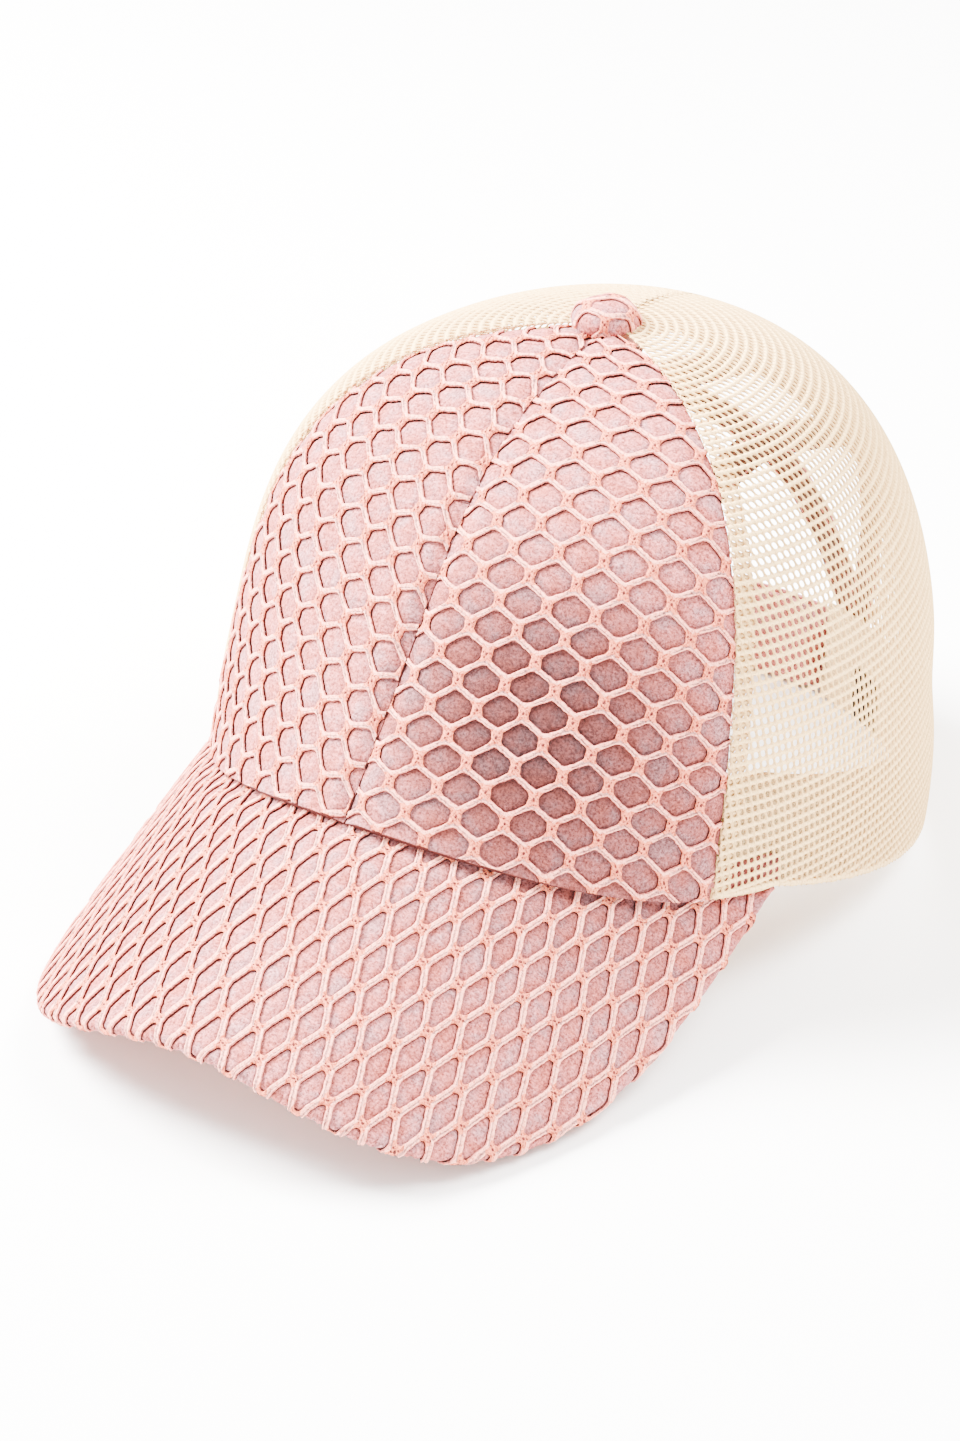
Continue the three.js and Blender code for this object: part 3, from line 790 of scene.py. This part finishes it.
# Netted cloth for the peak, cut off at a gap past the ring. It lies turned by a right angle, so
# its knots are drawn out along X.
def peakCloth(law, ring, pastRing, margin, cellAt):
    x, y = peakToFlat(*cellAt)

    def wanted(place):
        flat = np.array([[-place[1], place[0]]])
        return nearOutline(flat, ring)[0][0] < margin and peakRimGap(flat)[0] > -12

    points, faces, kinds = netCloth(law, (-6, 10), (-26, 27), (y, -x), wanted)
    points = wander(np.column_stack([-points[:, 1], points[:, 0], points[:, 2]]), 0.22)
    limits = [
        lambda rows: pastRing - nearOutline(rows[:, :2], ring)[0],
        lambda rows: peakRimGap(rows[:, :2]) + peak["rimTuck"],
        lambda rows: peakEndY + 1.5 - peakFromFlat(rows[:, :2])[:, 1],
    ]
    return turnEdgeUnder(*trimAll(points, faces, kinds, limits), -0.5)


# The cloth on the peak's top, round its rolled edge and a little way under it
def peakNet(name):
    radius = peak["rollRadius"]
    halfTurn = math.pi * radius
    ring = peakOutline(peak["edgeInset"])
    points, faces, kinds = peakCloth(peak["net"], ring, halfTurn + peak["turnedUnder"], 18, peak["cellAt"])
    flat, height = points[:, :2], points[:, 2]
    gap, place, direction = nearOutline(flat, ring)
    dip = peak["rimDip"] * np.exp(-(np.maximum(peakRimGap(flat), 0) / peak["rimDipWidth"]) ** 2)
    turnedBack = np.maximum(gap - halfTurn, 0)[:, None]
    middle = np.where((gap > 0)[:, None], place - direction * turnedBack, flat)
    across, along, out = peakDirections(middle)
    outward = across * direction[:, :1] + along * direction[:, 1:]
    angle = np.clip(gap / radius, 0, math.pi)[:, None]
    centre = peakFromFlat(middle) - out * (peak["netDepth"] + radius + np.where(gap > 0, 0, dip))[:, None]
    laid = centre + (outward * np.sin(angle) + out * np.cos(angle)) * (radius + height)[:, None]
    addPiece(name, laid, faces, netFinishes.values(), kinds, flat, "peak")


# The under cloth of the peak, inside the turned edge
def peakUnder(name):
    ring = peakOutline(peak["edgeInset"] + peak["turnedUnder"] - 0.4)
    law = dict(peak["net"], **peak["underNet"])
    points, faces, kinds = peakCloth(law, ring, 0, 8, peak["undersideCellAt"])
    flat = points[:, :2]
    seamSink = 0.5 * np.exp(-(nearOutline(flat, ring)[0] / 1.6) ** 2)
    depth = peak["netDepth"] + 2 * peak["rollRadius"] + points[:, 2] - seamSink
    laid = peakFromFlat(flat) - peakDirections(flat)[2] * depth[:, None]
    addPiece(name, laid, [face[::-1] for face in faces], netFinishes.values(), kinds, flat)


peakNet("peak_net")
peakUnder("peak_under_net")
print("cap: peak laid")

# The arched opening at the back, its binding and its crossed straps, all drawn in X and Z
opening = {
    "height": 106,
    "halfWidth": 32.5,
    # height and half width as shares, from the rim up
    "outline": [(0, 0.84), (0.23, 0.87), (0.4, 0.94), (0.58, 1), (0.76, 0.98), (0.88, 0.89), (0.955, 0.67),
                (1, 0)],
    "bindingWidth": 7,
    "bindingThickness": 2.3,
    "bindingProud": 0.4,
}
openingHalf = [(share * opening["halfWidth"], up * opening["height"]) for up, share in opening["outline"]]
openingEdge = throughPoints(openingHalf + [(-x, z) for x, z in openingHalf[-2::-1]], 241)
openingLegs = [(openingEdge[-1][0], -30), (openingEdge[0][0], -30)]
openingRing = evenly(np.vstack([openingEdge, openingLegs]), 1.0, closed=True)


# Gap to the opening's edge, worked out only near it
def openingGap(x, z, y=100):
    near = (np.abs(x) < 48) & (z < 120) & (y > 40)
    gap = np.full(len(x), 50.0)
    gap[near] = nearOutline(np.column_stack([x, z])[near], openingRing)[0]
    return gap


# The fine mesh of the crown: slots in level rows, with raised bars between them
fineMesh = {
    "across": 1.8,
    "up": 2.5,
    "slotHalfWidth": 0.55,
    "slotHalfHeight": 0.75,
    "barRise": 0.42,
    "wall": 0.28,
    "spine": 100,
    "foldWidth": 4.6,
    # columns of the folded strip at each side's seam
    "foldColumns": {1: (-44, -8), -1: (8, 44)},
}


def meshTiles(columns, rows, phase):
    across, up = fineMesh["across"], fineMesh["up"]
    slotX, slotZ = fineMesh["slotHalfWidth"], fineMesh["slotHalfHeight"]
    shares = [(1, -0.5), (1, 0.5), (0.5, 1), (-0.5, 1), (-1, 0.5), (-1, -0.5), (-0.5, -1), (0.5, -1)]
    slot = np.array([(slotX * x, slotZ * z, 0) for x, z in shares])
    columnCount, rowCount = columns[1] - columns[0] + 1, rows[1] - rows[0] + 1
    start = np.array([phase[0] + columns[0] * across, phase[1] + rows[0] * up, 0])
    points = [start + (across * (column - 0.5), up * (row - 0.5), fineMesh["barRise"])
              for row in range(rowCount + 1) for column in range(columnCount + 1)]
    faces = []
    slots = []
    count = len(points)
    for row in range(rowCount):
        for column in range(columnCount):
            slots.append(slot + start + (across * column, up * row, 0))
            low = row * (columnCount + 1) + column
            high = low + columnCount + 1
            s = [count + index for index in range(8)]
            faces += [(low + 1, high + 1, s[1], s[0]), (high + 1, s[2], s[1]), (high + 1, high, s[3], s[2]),
                      (high, s[4], s[3]), (high, low, s[5], s[4]), (low, s[6], s[5]),
                      (low, low + 1, s[7], s[6]), (low + 1, s[0], s[7])]
            count += 8
    # each tile has its two upright threads and the bars above and below the slot; the upright threads are
    # painted shade, a darker yarn between the raised bars
    return np.vstack([points] + slots), faces, [1, 0, 0, 0, 1, 0, 0, 0] * (len(faces) // 8)


def meshPanel(side, name, nodeName, fold=False):
    low, high = sorted([math.radians(50) * side, math.radians(181) * side])
    rings = crownRings(math.radians(fineMesh["spine"]) * side, low, high, -22.0)
    if fold:
        points, faces, kinds = meshTiles(fineMesh["foldColumns"][side], (-9, 66), (0.9, 1.2))
    else:
        points, faces, kinds = meshTiles((-62, 62), (-9, 66), (0, 0))
    points = layOnRings(points, rings, points[:, 0], points[:, 1])

    def toSeam(rows):
        turn, z = rows[:, 3], rows[:, 4]
        return (turn * side - seamAt(climbAt(turn, z))) * crownReach(turn, z)

    def toMiddle(rows):
        return (math.pi - rows[:, 3] * side) * crownReach(rows[:, 3], rows[:, 4]) + 0.05

    def toOpening(rows):
        face = crownFace(rows[:, 3], climbAt(rows[:, 3], rows[:, 4]))
        return openingGap(face[:, 0], rows[:, 4], face[:, 1]) - 2.5

    def insideFold(rows):
        return fineMesh["foldWidth"] - toSeam(rows)

    limits = [aboveRim, pastApex, toSeam, toMiddle, insideFold if fold else toOpening]
    points, faces, kinds = trimAll(points, faces, kinds, limits)
    out = points[:, 2] - (0.8 if fold else 0.1)
    laid = onCrown(points[:, 3], climbAt(points[:, 3], points[:, 4]), out)
    addPiece(name, laid, faces, [meshYarn, meshShadeThread], kinds, points[:, :2], nodeName,
             wall=fineMesh["wall"])


meshPanel(1, "mesh_cloth_left", "mesh_panel_left")
meshPanel(-1, "mesh_cloth_right", "mesh_panel_right")
meshPanel(1, "mesh_fold_left", None, fold=True)
meshPanel(-1, "mesh_fold_right", None, fold=True)
print("cap: mesh panels laid")


# Outline of a flat band's section, rounded at its edges: across and depth
def bandSection(width, thickness, crownRise=0.0):
    radius = thickness * 0.45
    points = []
    for cornerX, cornerZ, start in ((width - radius, thickness - radius, 0), (radius, thickness - radius, 90),
                                    (radius, radius, 180), (width - radius, radius, 270)):
        for step in range(4):
            angle = math.radians(start + 30 * step)
            points.append((cornerX + radius * math.cos(angle), cornerZ + radius * math.sin(angle)))
        for share in (0.25, 0.5, 0.75):
            sink = crownRise * math.sin(math.pi * share)
            if start == 0:
                points.append((width - radius - (width - 2 * radius) * share, thickness))
            elif start == 180:
                points.append((radius + (width - 2 * radius) * share, -sink))
    return np.array(points)


# Skin of a body whose sections stand one behind the other, closed at both ends
def skinSections(stations, around):
    faces = []
    for low in range(0, (stations - 1) * around, around):
        for step in range(around):
            after = (step + 1) % around
            faces.append((low + step, low + after, low + around + after, low + around + step))
    faces.append(tuple(range(around))[::-1])
    faces.append(tuple(range((stations - 1) * around, stations * around)))
    return faces


# Makes a band from its laid sections. Past the depth innerFrom its faces have the second finish.
def addBand(name, laid, run, section, finishes, nodeName=None, innerFrom=math.inf):
    around = len(section)
    flat = np.column_stack([np.repeat(run, around), np.tile(section[:, 0], len(run))])
    faces = skinSections(len(run), around)
    kinds = [0 if section[face[0] % around][1] < innerFrom else 1 for face in faces]
    addPiece(name, laid, faces, finishes, kinds, flat, nodeName, closed=True)


# Directions square to a line in X and Z, to its right
def asideOf(line):
    step = unit(np.gradient(line, axis=0))
    return np.column_stack([step[:, 1], -step[:, 0]])


# A band laid on the back wall along a line in X and Z. Depth runs inwards from the wall's face.
def layBand(name, line, section, sideShift, depth, innerFrom, nodeName):
    place = line[:, None] + asideOf(line)[:, None] * (section[None, :, :1] + sideShift)
    place = place.reshape(-1, 2)
    laid = onBack(place[:, 0], place[:, 1], -np.tile(section[:, 1] + depth, len(line)))
    addBand(name, laid, runAlong(line), section, [plainSuede, suedeReverse], nodeName, innerFrom)


bindingLine = evenly(openingEdge, 1.6)
bindingSection = bandSection(opening["bindingWidth"], opening["bindingThickness"], 0.25)
layBand("opening_binding_cloth", bindingLine, bindingSection, 0, -opening["bindingProud"], 1.4,
        "opening_binding")

straps = {
    "width": 9.5,
    "thickness": 1.4,
    "lowestMiddle": 26.8,
    # shares of the opening's half width and height
    "lower": [(-1.0, 0.19), (-0.78, 0.335), (-0.55, 0.457), (-0.3, 0.561), (0, 0.651), (0.5, 0.736),
              (1.2, 0.849)],
    "upper": [(-1.2, 0.735), (-0.56, 0.845), (0, 0.93), (0.5, 1.01)],
    # layer: mirrored, depth, how far it runs past the opening's edge
    "layers": {"inner": (1, 2.25, 5.0), "outer": (-1, 0.5, 2.5)},
}


def strapLine(route, mirrored, past):
    scale = np.array([mirrored * opening["halfWidth"], opening["height"]])
    line = evenly(throughPoints(np.array(straps[route]) * scale, 400), 0.4)
    keep = (openingGap(line[:, 0], line[:, 1]) < past) & (line[:, 1] > straps["lowestMiddle"])
    return evenly(line[keep], 1.8)


strapSection = bandSection(straps["width"], straps["thickness"], 0.12)
for route in ("lower", "upper"):
    for layer, (mirrored, depth, past) in straps["layers"].items():
        layBand(f"{route}_strap_{layer}_cloth", strapLine(route, mirrored, past), strapSection,
                -straps["width"] / 2, depth, 0.7, f"{route}_strap_{layer}")
print("cap: binding and straps laid")

# Sweatband: a soft band round the inside, from one leg of the opening to the other
band = {
    "height": 28,
    "thickness": 1.5,
    "depth": 2.3,
    "endLeft": 35.2,
    "endRight": 22,
    "endReach": 81.7,
    "stitchRows": [3.0, 25.6],
}


def bandTurns(spacing):
    right = math.pi - math.asin(band["endRight"] / band["endReach"])
    left = -(math.pi - math.asin(band["endLeft"] / band["endReach"]))
    turns = np.linspace(left, right, 900)
    x, y, z = rimPlace(turns)
    return evenly(np.column_stack([x, y, turns]), spacing)[:, 2]


# Points by height above the rim and depth inside the face
def insideCrown(turn, above, depth):
    return onCrown(turn, climbAt(turn, rimPlace(turn)[2] + above), -np.asarray(depth))


def layRound(name, turns, section, lift, depth, finish, nodeName=None):
    turn = np.repeat(turns, len(section))
    above, inside = np.tile(section + np.array([lift, depth]), (len(turns), 1)).T
    laid = insideCrown(turn, above, inside)
    run = runAlong(insideCrown(turns, 0 * turns, 0 * turns))
    addBand(name, laid, run, section, [finish], nodeName)


sweatbandSection = bandSection(band["height"], band["thickness"], -0.35)
layRound("sweatband_cloth", bandTurns(2.4), sweatbandSection, 0, band["depth"], bandWeave,
         "sweatband")

# The mesh is folded up at the rim, and the peak's raw edge is turned up behind the front panels
hem = {
    "radius": 0.85,
    "allowanceHeight": 8.5,
    "allowanceDepth": 1.0,
    "allowanceThickness": 1.1,
}
hemAngles = np.radians(np.arange(0, 360, 45))
hemSection = hem["radius"] * np.column_stack([np.cos(hemAngles), np.sin(hemAngles)])
hemEnd = opening["outline"][0][1] * opening["halfWidth"] + opening["bindingWidth"] - 1
hemLast = 180 - math.degrees(math.asin(hemEnd / crown["halfWidth"]))
allowanceSection = bandSection(hem["allowanceHeight"], hem["allowanceThickness"])
for side, name in ((1, "left"), (-1, "right")):
    turns = np.radians(np.linspace(crown["seam"][0] + 0.4, hemLast, 70)) * side
    layRound(f"mesh_hem_{name}", turns, hemSection, hem["radius"] - 0.1, 0.55, meshYarn)
for side, name in ((1, "left"), (-1, "right")):
    turns = np.radians(np.linspace(52, 68, 14)) * side
    layRound(f"peak_allowance_{name}", turns, allowanceSection, -0.5, hem["allowanceDepth"], plainSuede)
print("cap: sweatband and hems laid")


# Lining of the front, stiffened cloth behind the net, with tape over its middle seam
lining = {
    "depths": [1.9, 2.6],
    "short": 0.4,
    "fromClimb": 1.6,
    "toClimb": 86,
    "rows": 34,
    "columns": 44,
    "tapeWidth": 9,
    "tapeThickness": 0.7,
    "tapeDepth": 2.05,
    "tapeClimb": (12, 84),
}


def layLining(name):
    columns, rows = lining["columns"], lining["rows"]
    lowest, highest = math.radians(lining["fromClimb"]), math.radians(lining["toClimb"])
    climb = lowest + (1 - (1 - np.linspace(0, 1, rows + 1)) ** 1.5) * (highest - lowest)
    climbs = np.repeat(climb, columns + 1)
    across = np.tile(np.linspace(-1, 1, columns + 1), rows + 1)
    turns = across * (seamAt(climbs) - math.radians(lining["short"]))
    points = np.vstack([onCrown(turns, climbs, np.full(len(turns), -depth)) for depth in lining["depths"]])
    flat = np.tile(np.column_stack([turns * 84, np.degrees(climbs) * 1.6]), (2, 1))
    count = len(turns)
    faces = []
    kinds = []
    for row in range(rows):
        for column in range(columns):
            low = row * (columns + 1) + column
            high = low + columns + 1
            faces.append((low, low + 1, high + 1, high))
            faces.append((low + count, high + count, high + 1 + count, low + 1 + count))
            kinds += [1, 0]
    edge = [row * (columns + 1) for row in range(rows)] + [rows * (columns + 1) + c for c in range(columns)]
    edge += [row * (columns + 1) + columns for row in range(rows, 0, -1)] + list(range(columns, 0, -1))
    for start, end in zip(edge, edge[1:] + edge[:1]):
        faces.append((start, end, end + count, start + count))
        kinds.append(0)
    # the outer face, seen in the seam gaps, is painted shade in dark maroon; the inner face is the lining
    # cloth
    addPiece(name, points, faces, [liningCloth, creaseShade], kinds, flat, closed=True)


# The tape up the inside of the middle seam
def layTape(name):
    climb = np.radians(np.linspace(*lining["tapeClimb"], 60))
    middle = onCrown(0 * climb, climb)
    section = bandSection(lining["tapeWidth"], lining["tapeThickness"])
    section = section - np.array([lining["tapeWidth"] / 2, 0])
    along = unit(onCrown(0 * climb + 1e-3, climb) - onCrown(0 * climb - 1e-3, climb))
    normal = unit(np.cross(along, np.gradient(middle, axis=0)))
    inwards = section[None, :, 1:] + lining["tapeDepth"]
    laid = middle[:, None] + along[:, None] * section[None, :, :1] - normal[:, None] * inwards
    addBand(name, laid.reshape(-1, 3), runAlong(middle), section, [bandWeave])


layLining("front_lining")
layTape("front_seam_tape")
print("cap: lining laid")

# Button: netted cloth over a dome, its edge turned under
button = {
    "middle": (-1.2, 10.2),
    "radius": 8.3,
    "rise": 5.6,
    "seat": 130.1,
    "domePower": 0.6,
    "turnedIn": 1.6,
    "shankRadius": 4.4,
    "washerRadius": 8,
    "washerThickness": 1.2,
    "washerTop": 127.1,
    "cell": (1.5, -2.6),
    "turn": 20,
}


# Radius and height of the button's face, from its top down and under its edge
def buttonProfile():
    angle = np.linspace(math.pi / 2, 0, 60)
    radius = button["radius"] * np.cos(angle) ** button["domePower"]
    radius[0] = 0
    under = np.linspace(0, 1, 12)[1:]
    radius = np.concatenate([radius, button["radius"] - button["turnedIn"] * under ** 1.4])
    height = np.concatenate([button["rise"] * np.sin(angle), -1.1 * np.sqrt(under)])
    return np.column_stack([radius, button["seat"] + height])


def layButton(name):
    profile = buttonProfile()
    run = runAlong(profile)

    def along(away):
        return np.column_stack([np.interp(away, run, profile[:, column]) for column in (0, 1)])

    def wanted(place):
        return math.hypot(place[0], place[1]) < 24

    law = dict(net, knotHalfHeight=1.7, knotHalfWidth=1.1, cordHalfWidth=0.75)
    points, faces, kinds = netCloth(law, (-3, 3), (-4, 4), button["cell"], wanted)
    points = wander(points, 0.2)
    limits = [lambda rows: run[-1] - np.hypot(rows[:, 0], rows[:, 1])]
    points, faces, kinds = trimAll(points, faces, kinds, limits)
    away = np.hypot(points[:, 0], points[:, 1])
    turn = np.arctan2(points[:, 1], points[:, 0]) + math.radians(button["turn"])
    slope = unit(along(away + 0.15) - along(np.maximum(away - 0.15, 0)))
    out = np.column_stack([-slope[:, 1], slope[:, 0]])
    ring, level = (along(away) + out * (points[:, 2] * 0.75 - 0.3)[:, None]).T
    middleX, middleY = button["middle"]
    laid = np.column_stack([ring * np.cos(turn) + middleX, ring * np.sin(turn) + middleY, level])
    addPiece(name, laid, faces, netFinishes.values(), kinds, points[:, :2], "button")


# The shank and its washer under the panels
def addWasher():
    x, y, z = toFrame((0, crown["apexSetBack"], 0))
    low = button["washerTop"] - button["washerThickness"]
    for name, corners, radius, top in (("button_washer", 48, button["washerRadius"], button["washerTop"]),
                                       ("button_shank", 32, button["shankRadius"], button["seat"])):
        bpy.ops.mesh.primitive_cylinder_add(vertices=corners, radius=radius * mm, depth=(top - low) * mm,
                                            location=(x, y, (top + low) / 2 * mm))
        piece = bpy.context.object
        piece.name = name
        selectOnly(piece)
        bpy.ops.object.transform_apply(location=True, rotation=True, scale=True)
        applyModifier(piece, "BEVEL", width=0.3 * mm, segments=2, limit_method="ANGLE")
        bpy.ops.object.shade_smooth_by_angle(angle=math.radians(40))
        piece.data.materials.append(backPlate)
        settle(piece)


layButton("button_net")
addWasher()
print("cap: button laid")

# Flat pieces of the closure, shaped in X and Z with Y outwards, then laid on the back wall
closure = {
    "corner": 6,
    # name, node, from x, to x, low, high, outer depth, thickness, which end is rounded, finish, slot
    "pieces": [
        ("tab_inner_cloth", "tab_inner", -34, 20, 0, 24, 2.25, 1.5, 1, plainSuede, "netted_suede"),
        ("tab_outer_cloth", "tab_outer", -20, 27.5, 0, 24, -0.9, 1.2, -1, plainSuede, "netted_suede"),
        ("hook_tape_pad", "hook_and_loop_pad", -14, 14, 4, 20, 0.45, 1.5, 0, hookTape, "hook_tape"),
        ("inner_tag_cloth", "inner_tag", 36, 46, 1, 15, 4.0, 0.8, 0, tagWeave, "hook_tape"),
    ],
}


def layFlatPiece(name, nodeName, fromX, toX, low, high, depth, thickness, rounded, finish, slot):
    bpy.ops.mesh.primitive_cube_add(size=1, location=((fromX + toX) / 2, 0, (low + high) / 2))
    piece = bpy.context.object
    piece.name = name
    piece.scale = (toX - fromX, thickness, high - low)
    bpy.ops.object.transform_apply(location=True, rotation=True, scale=True)
    bpy.ops.object.mode_set(mode="EDIT")
    if rounded:
        bpy.ops.mesh.select_all(action="DESELECT")
        bpy.ops.object.mode_set(mode="OBJECT")
        endX = toX if rounded > 0 else fromX
        for edge in piece.data.edges:
            first, second = (piece.data.vertices[i].co for i in edge.vertices)
            atEnd = abs(first.x - endX) < 0.01 and abs(second.x - endX) < 0.01
            edge.select = atEnd and abs(first.z - second.z) < 0.01
        bpy.ops.object.mode_set(mode="EDIT")
        bpy.ops.mesh.select_mode(type="EDGE")
        bpy.ops.mesh.bevel(offset=closure["corner"], segments=6, affect="EDGES")
    bpy.ops.object.mode_set(mode="OBJECT")
    applyModifier(piece, "BEVEL", width=thickness * 0.4, segments=3, limit_method="ANGLE")
    bpy.ops.object.mode_set(mode="EDIT")
    cuts = [((x, 0, 0), (1, 0, 0)) for x in np.arange(fromX + 1.5, toX - 0.5, 2.0).tolist()]
    cuts += [((0, 0, z), (0, 0, 1)) for z in np.arange(low + 2, high - 0.5, 3.0).tolist()]
    for place, way in cuts:
        bpy.ops.mesh.select_all(action="SELECT")
        bpy.ops.mesh.bisect(plane_co=place, plane_no=way)
    bpy.ops.object.mode_set(mode="OBJECT")
    mesh = piece.data
    flat = np.empty(len(mesh.vertices) * 3)
    mesh.vertices.foreach_get("co", flat)
    flat = flat.reshape(-1, 3)
    laid = onBack(flat[:, 0], flat[:, 2], flat[:, 1] - depth - thickness / 2)
    mesh.vertices.foreach_set("co", toFrame(laid).ravel())
    while mesh.uv_layers:
        mesh.uv_layers.remove(mesh.uv_layers[0])
    layFlat(mesh, flat[:, [0, 2]])
    mesh.materials.append(finish)
    faceOut(piece)
    selectOnly(piece)
    bpy.ops.object.shade_smooth_by_angle(angle=math.radians(50))
    settle(piece, nodeName)


for values in closure["pieces"]:
    layFlatPiece(*values)
print("cap: closure laid")


# Rows of stitches: short threads that dip into the cloth at both ends
thread = {
    "length": 2.3,
    "gap": 0.9,
    "radius": 0.22,
    # share of the length, share of the radius, lift
    "stations": [(0.0, 0.25, -0.12), (0.18, 1.0, 0.1), (0.82, 1.0, 0.1), (1.0, 0.25, -0.12)],
    "around": 5,
    "proud": 0.02,
}


def sewRow(name, line, normals, finish):
    run = runAlong(line)
    starts = np.arange(0.4, run[-1] - thread["length"], thread["length"] + thread["gap"])

    def pick(rows, places):
        return np.column_stack([np.interp(places, run, rows[:, axis]) for axis in range(3)])

    points = []
    for share, thick, lift in thread["stations"]:
        places = starts + share * thread["length"]
        place, normal = pick(line, places), pick(normals, places)
        aside = np.cross(normal, pick(line, places + 0.3) - place)
        aside = aside / np.maximum(np.linalg.norm(aside, axis=1, keepdims=True), 1e-9)
        reach = thread["radius"] * thick
        for corner in range(thread["around"]):
            angle = 2 * math.pi * corner / thread["around"]
            points.append(place + normal * (lift + reach * math.cos(angle)) + aside * reach * math.sin(angle))
    each = len(points)
    points = np.stack(points, 1).reshape(-1, 3)
    stitch = skinSections(len(thread["stations"]), thread["around"])
    faces = [tuple(i + count * each for i in face) for count in range(len(starts)) for face in stitch]
    addPiece(name, points, faces, [finish], [0] * len(faces), points[:, :2], closed=True)


# A row sewn on the back wall along a line in X and Z, on cloth whose face lies out from the wall's.
# way is 1 on the outside, -1 on the inside.
def sewOnBack(name, line, out, way):
    place = onBack(line[:, 0], line[:, 1], np.full(len(line), out + way * thread["proud"]))
    above = onBack(line[:, 0], line[:, 1], np.full(len(line), out + way * (thread["proud"] + 1)))
    sewRow(name, place, above - place, threadPink)


for index, shift in enumerate((1.0, 6.0)):
    line = (bindingLine + asideOf(bindingLine) * shift)[1:-1]
    outer = opening["bindingProud"]
    sewOnBack(f"binding_stitches_outside_{index}", line, outer, 1)
    sewOnBack(f"binding_stitches_inside_{index}", line, outer - opening["bindingThickness"], -1)
for route in ("lower", "upper"):
    for layer, (mirrored, depth, past) in straps["layers"].items():
        middle = strapLine(route, mirrored, past - 2.5)
        for index, shift in enumerate((1.2 - straps["width"] / 2, straps["width"] / 2 - 1.2)):
            line = middle + asideOf(middle) * shift
            name = f"{route}_strap_{layer}_stitches"
            sewOnBack(f"{name}_outside_{index}", line, -depth, 1)
            sewOnBack(f"{name}_inside_{index}", line, -depth - straps["thickness"], -1)
# the way round a tab's rounded end, in X and Z
tabCorners = [(13, 2.0), (17, 5.5), (18, 9), (18, 15), (17, 18.5), (13, 22.0)]
outerLine = [(26, 2.0)] + [(-x, z) for x, z in tabCorners] + [(26, 22.0)]
innerLine = [(-33, 2.0)] + tabCorners + [(-33, 22.0)]
sewOnBack("tab_outer_stitches", evenly(np.array(outerLine, float), 1.0), 0.9, 1)
sewOnBack("tab_inner_stitches", evenly(np.array(innerLine, float), 1.0), -3.75, -1)
for index, above in enumerate(band["stitchRows"]):
    turns = bandTurns(1.2)[2:-2]
    inner = band["depth"] + band["thickness"]
    place = insideCrown(turns, np.full(len(turns), above), np.full(len(turns), inner + thread["proud"]))
    past = insideCrown(turns, np.full(len(turns), above), np.full(len(turns), inner + 1))
    sewRow(f"sweatband_stitches_{index}", place, past - place, threadCream)
print("cap: stitches sewn")

# Camera at the photograph's place: 85 mm lens on a 36 mm long side
photo = {
    "azimuth": 33.1415,
    "elevation": 29.4239,
    "distance": 900.154,
    "target": (-47.832, 27.329, -0.132),
    "lens": 85,
}


def placeCamera():
    turn, rise = math.radians(photo["azimuth"]), math.radians(photo["elevation"])
    back = Vector((math.sin(turn) * math.cos(rise), -math.cos(turn) * math.cos(rise), math.sin(rise)))
    camera = bpy.data.objects.new("camera", bpy.data.cameras.new("camera"))
    camera.data.lens = photo["lens"]
    camera.data.sensor_width = 36
    camera.data.clip_start = 0.05
    camera.data.clip_end = 20
    camera.location = Vector(toFrame(photo["target"])) + back * photo["distance"] * mm
    camera.rotation_euler = (-back).to_track_quat("-Z", "Y").to_euler()
    bpy.context.scene.collection.objects.link(camera)
    bpy.context.scene.camera = camera


# Soft studio: a softbox over the left, one behind on the right, a weak one in front, in a pale room
studio = {
    "room": 2.8,
    "floor": "#fbfaf8",
    # name, place, aimed at, size, power
    "lamps": [
        ("overhead_left", (-0.95, -0.2, 1.05), (0, 0, 0.05), (0.7, 0.7), 290),
        ("behind", (0.8, 0.6, 1.35), (0.4, 0.3, 0), (0.9, 0.9), 115),
        ("front_fill", (0.2, -1.4, 0.7), (0, 0, 0.05), (1.0, 0.8), 7),
    ],
}


def lightStudio():
    world = bpy.data.worlds.new("studio")
    bpy.context.scene.world = world
    world.use_nodes = True
    background = world.node_tree.nodes["Background"]
    background.inputs["Color"].default_value = (1, 1, 1, 1)
    background.inputs["Strength"].default_value = studio["room"]
    for name, place, aim, size, power in studio["lamps"]:
        lamp = bpy.data.lights.new(name, "AREA")
        lamp.shape = "RECTANGLE"
        lamp.size, lamp.size_y = size
        lamp.energy = power
        lampObject = bpy.data.objects.new(name, lamp)
        lampObject.location = place
        lampObject.rotation_euler = (Vector(aim) - Vector(place)).to_track_quat("-Z", "Y").to_euler()
        bpy.context.scene.collection.objects.link(lampObject)
    bpy.ops.mesh.primitive_plane_add(size=12, location=(0, 0, -0.0004))
    floor = bpy.context.object
    floor.name = "studio_floor"
    paper, tree, shader, place = newMaterial("white_paper_floor")
    tone = node(tree, "RGB").outputs[0]
    tone.default_value = colour(studio["floor"])
    setFaces(tree, shader, tone, 0.9)
    floor.data.materials.append(paper)


placeCamera()
lightStudio()
print("cap: camera and studio set")
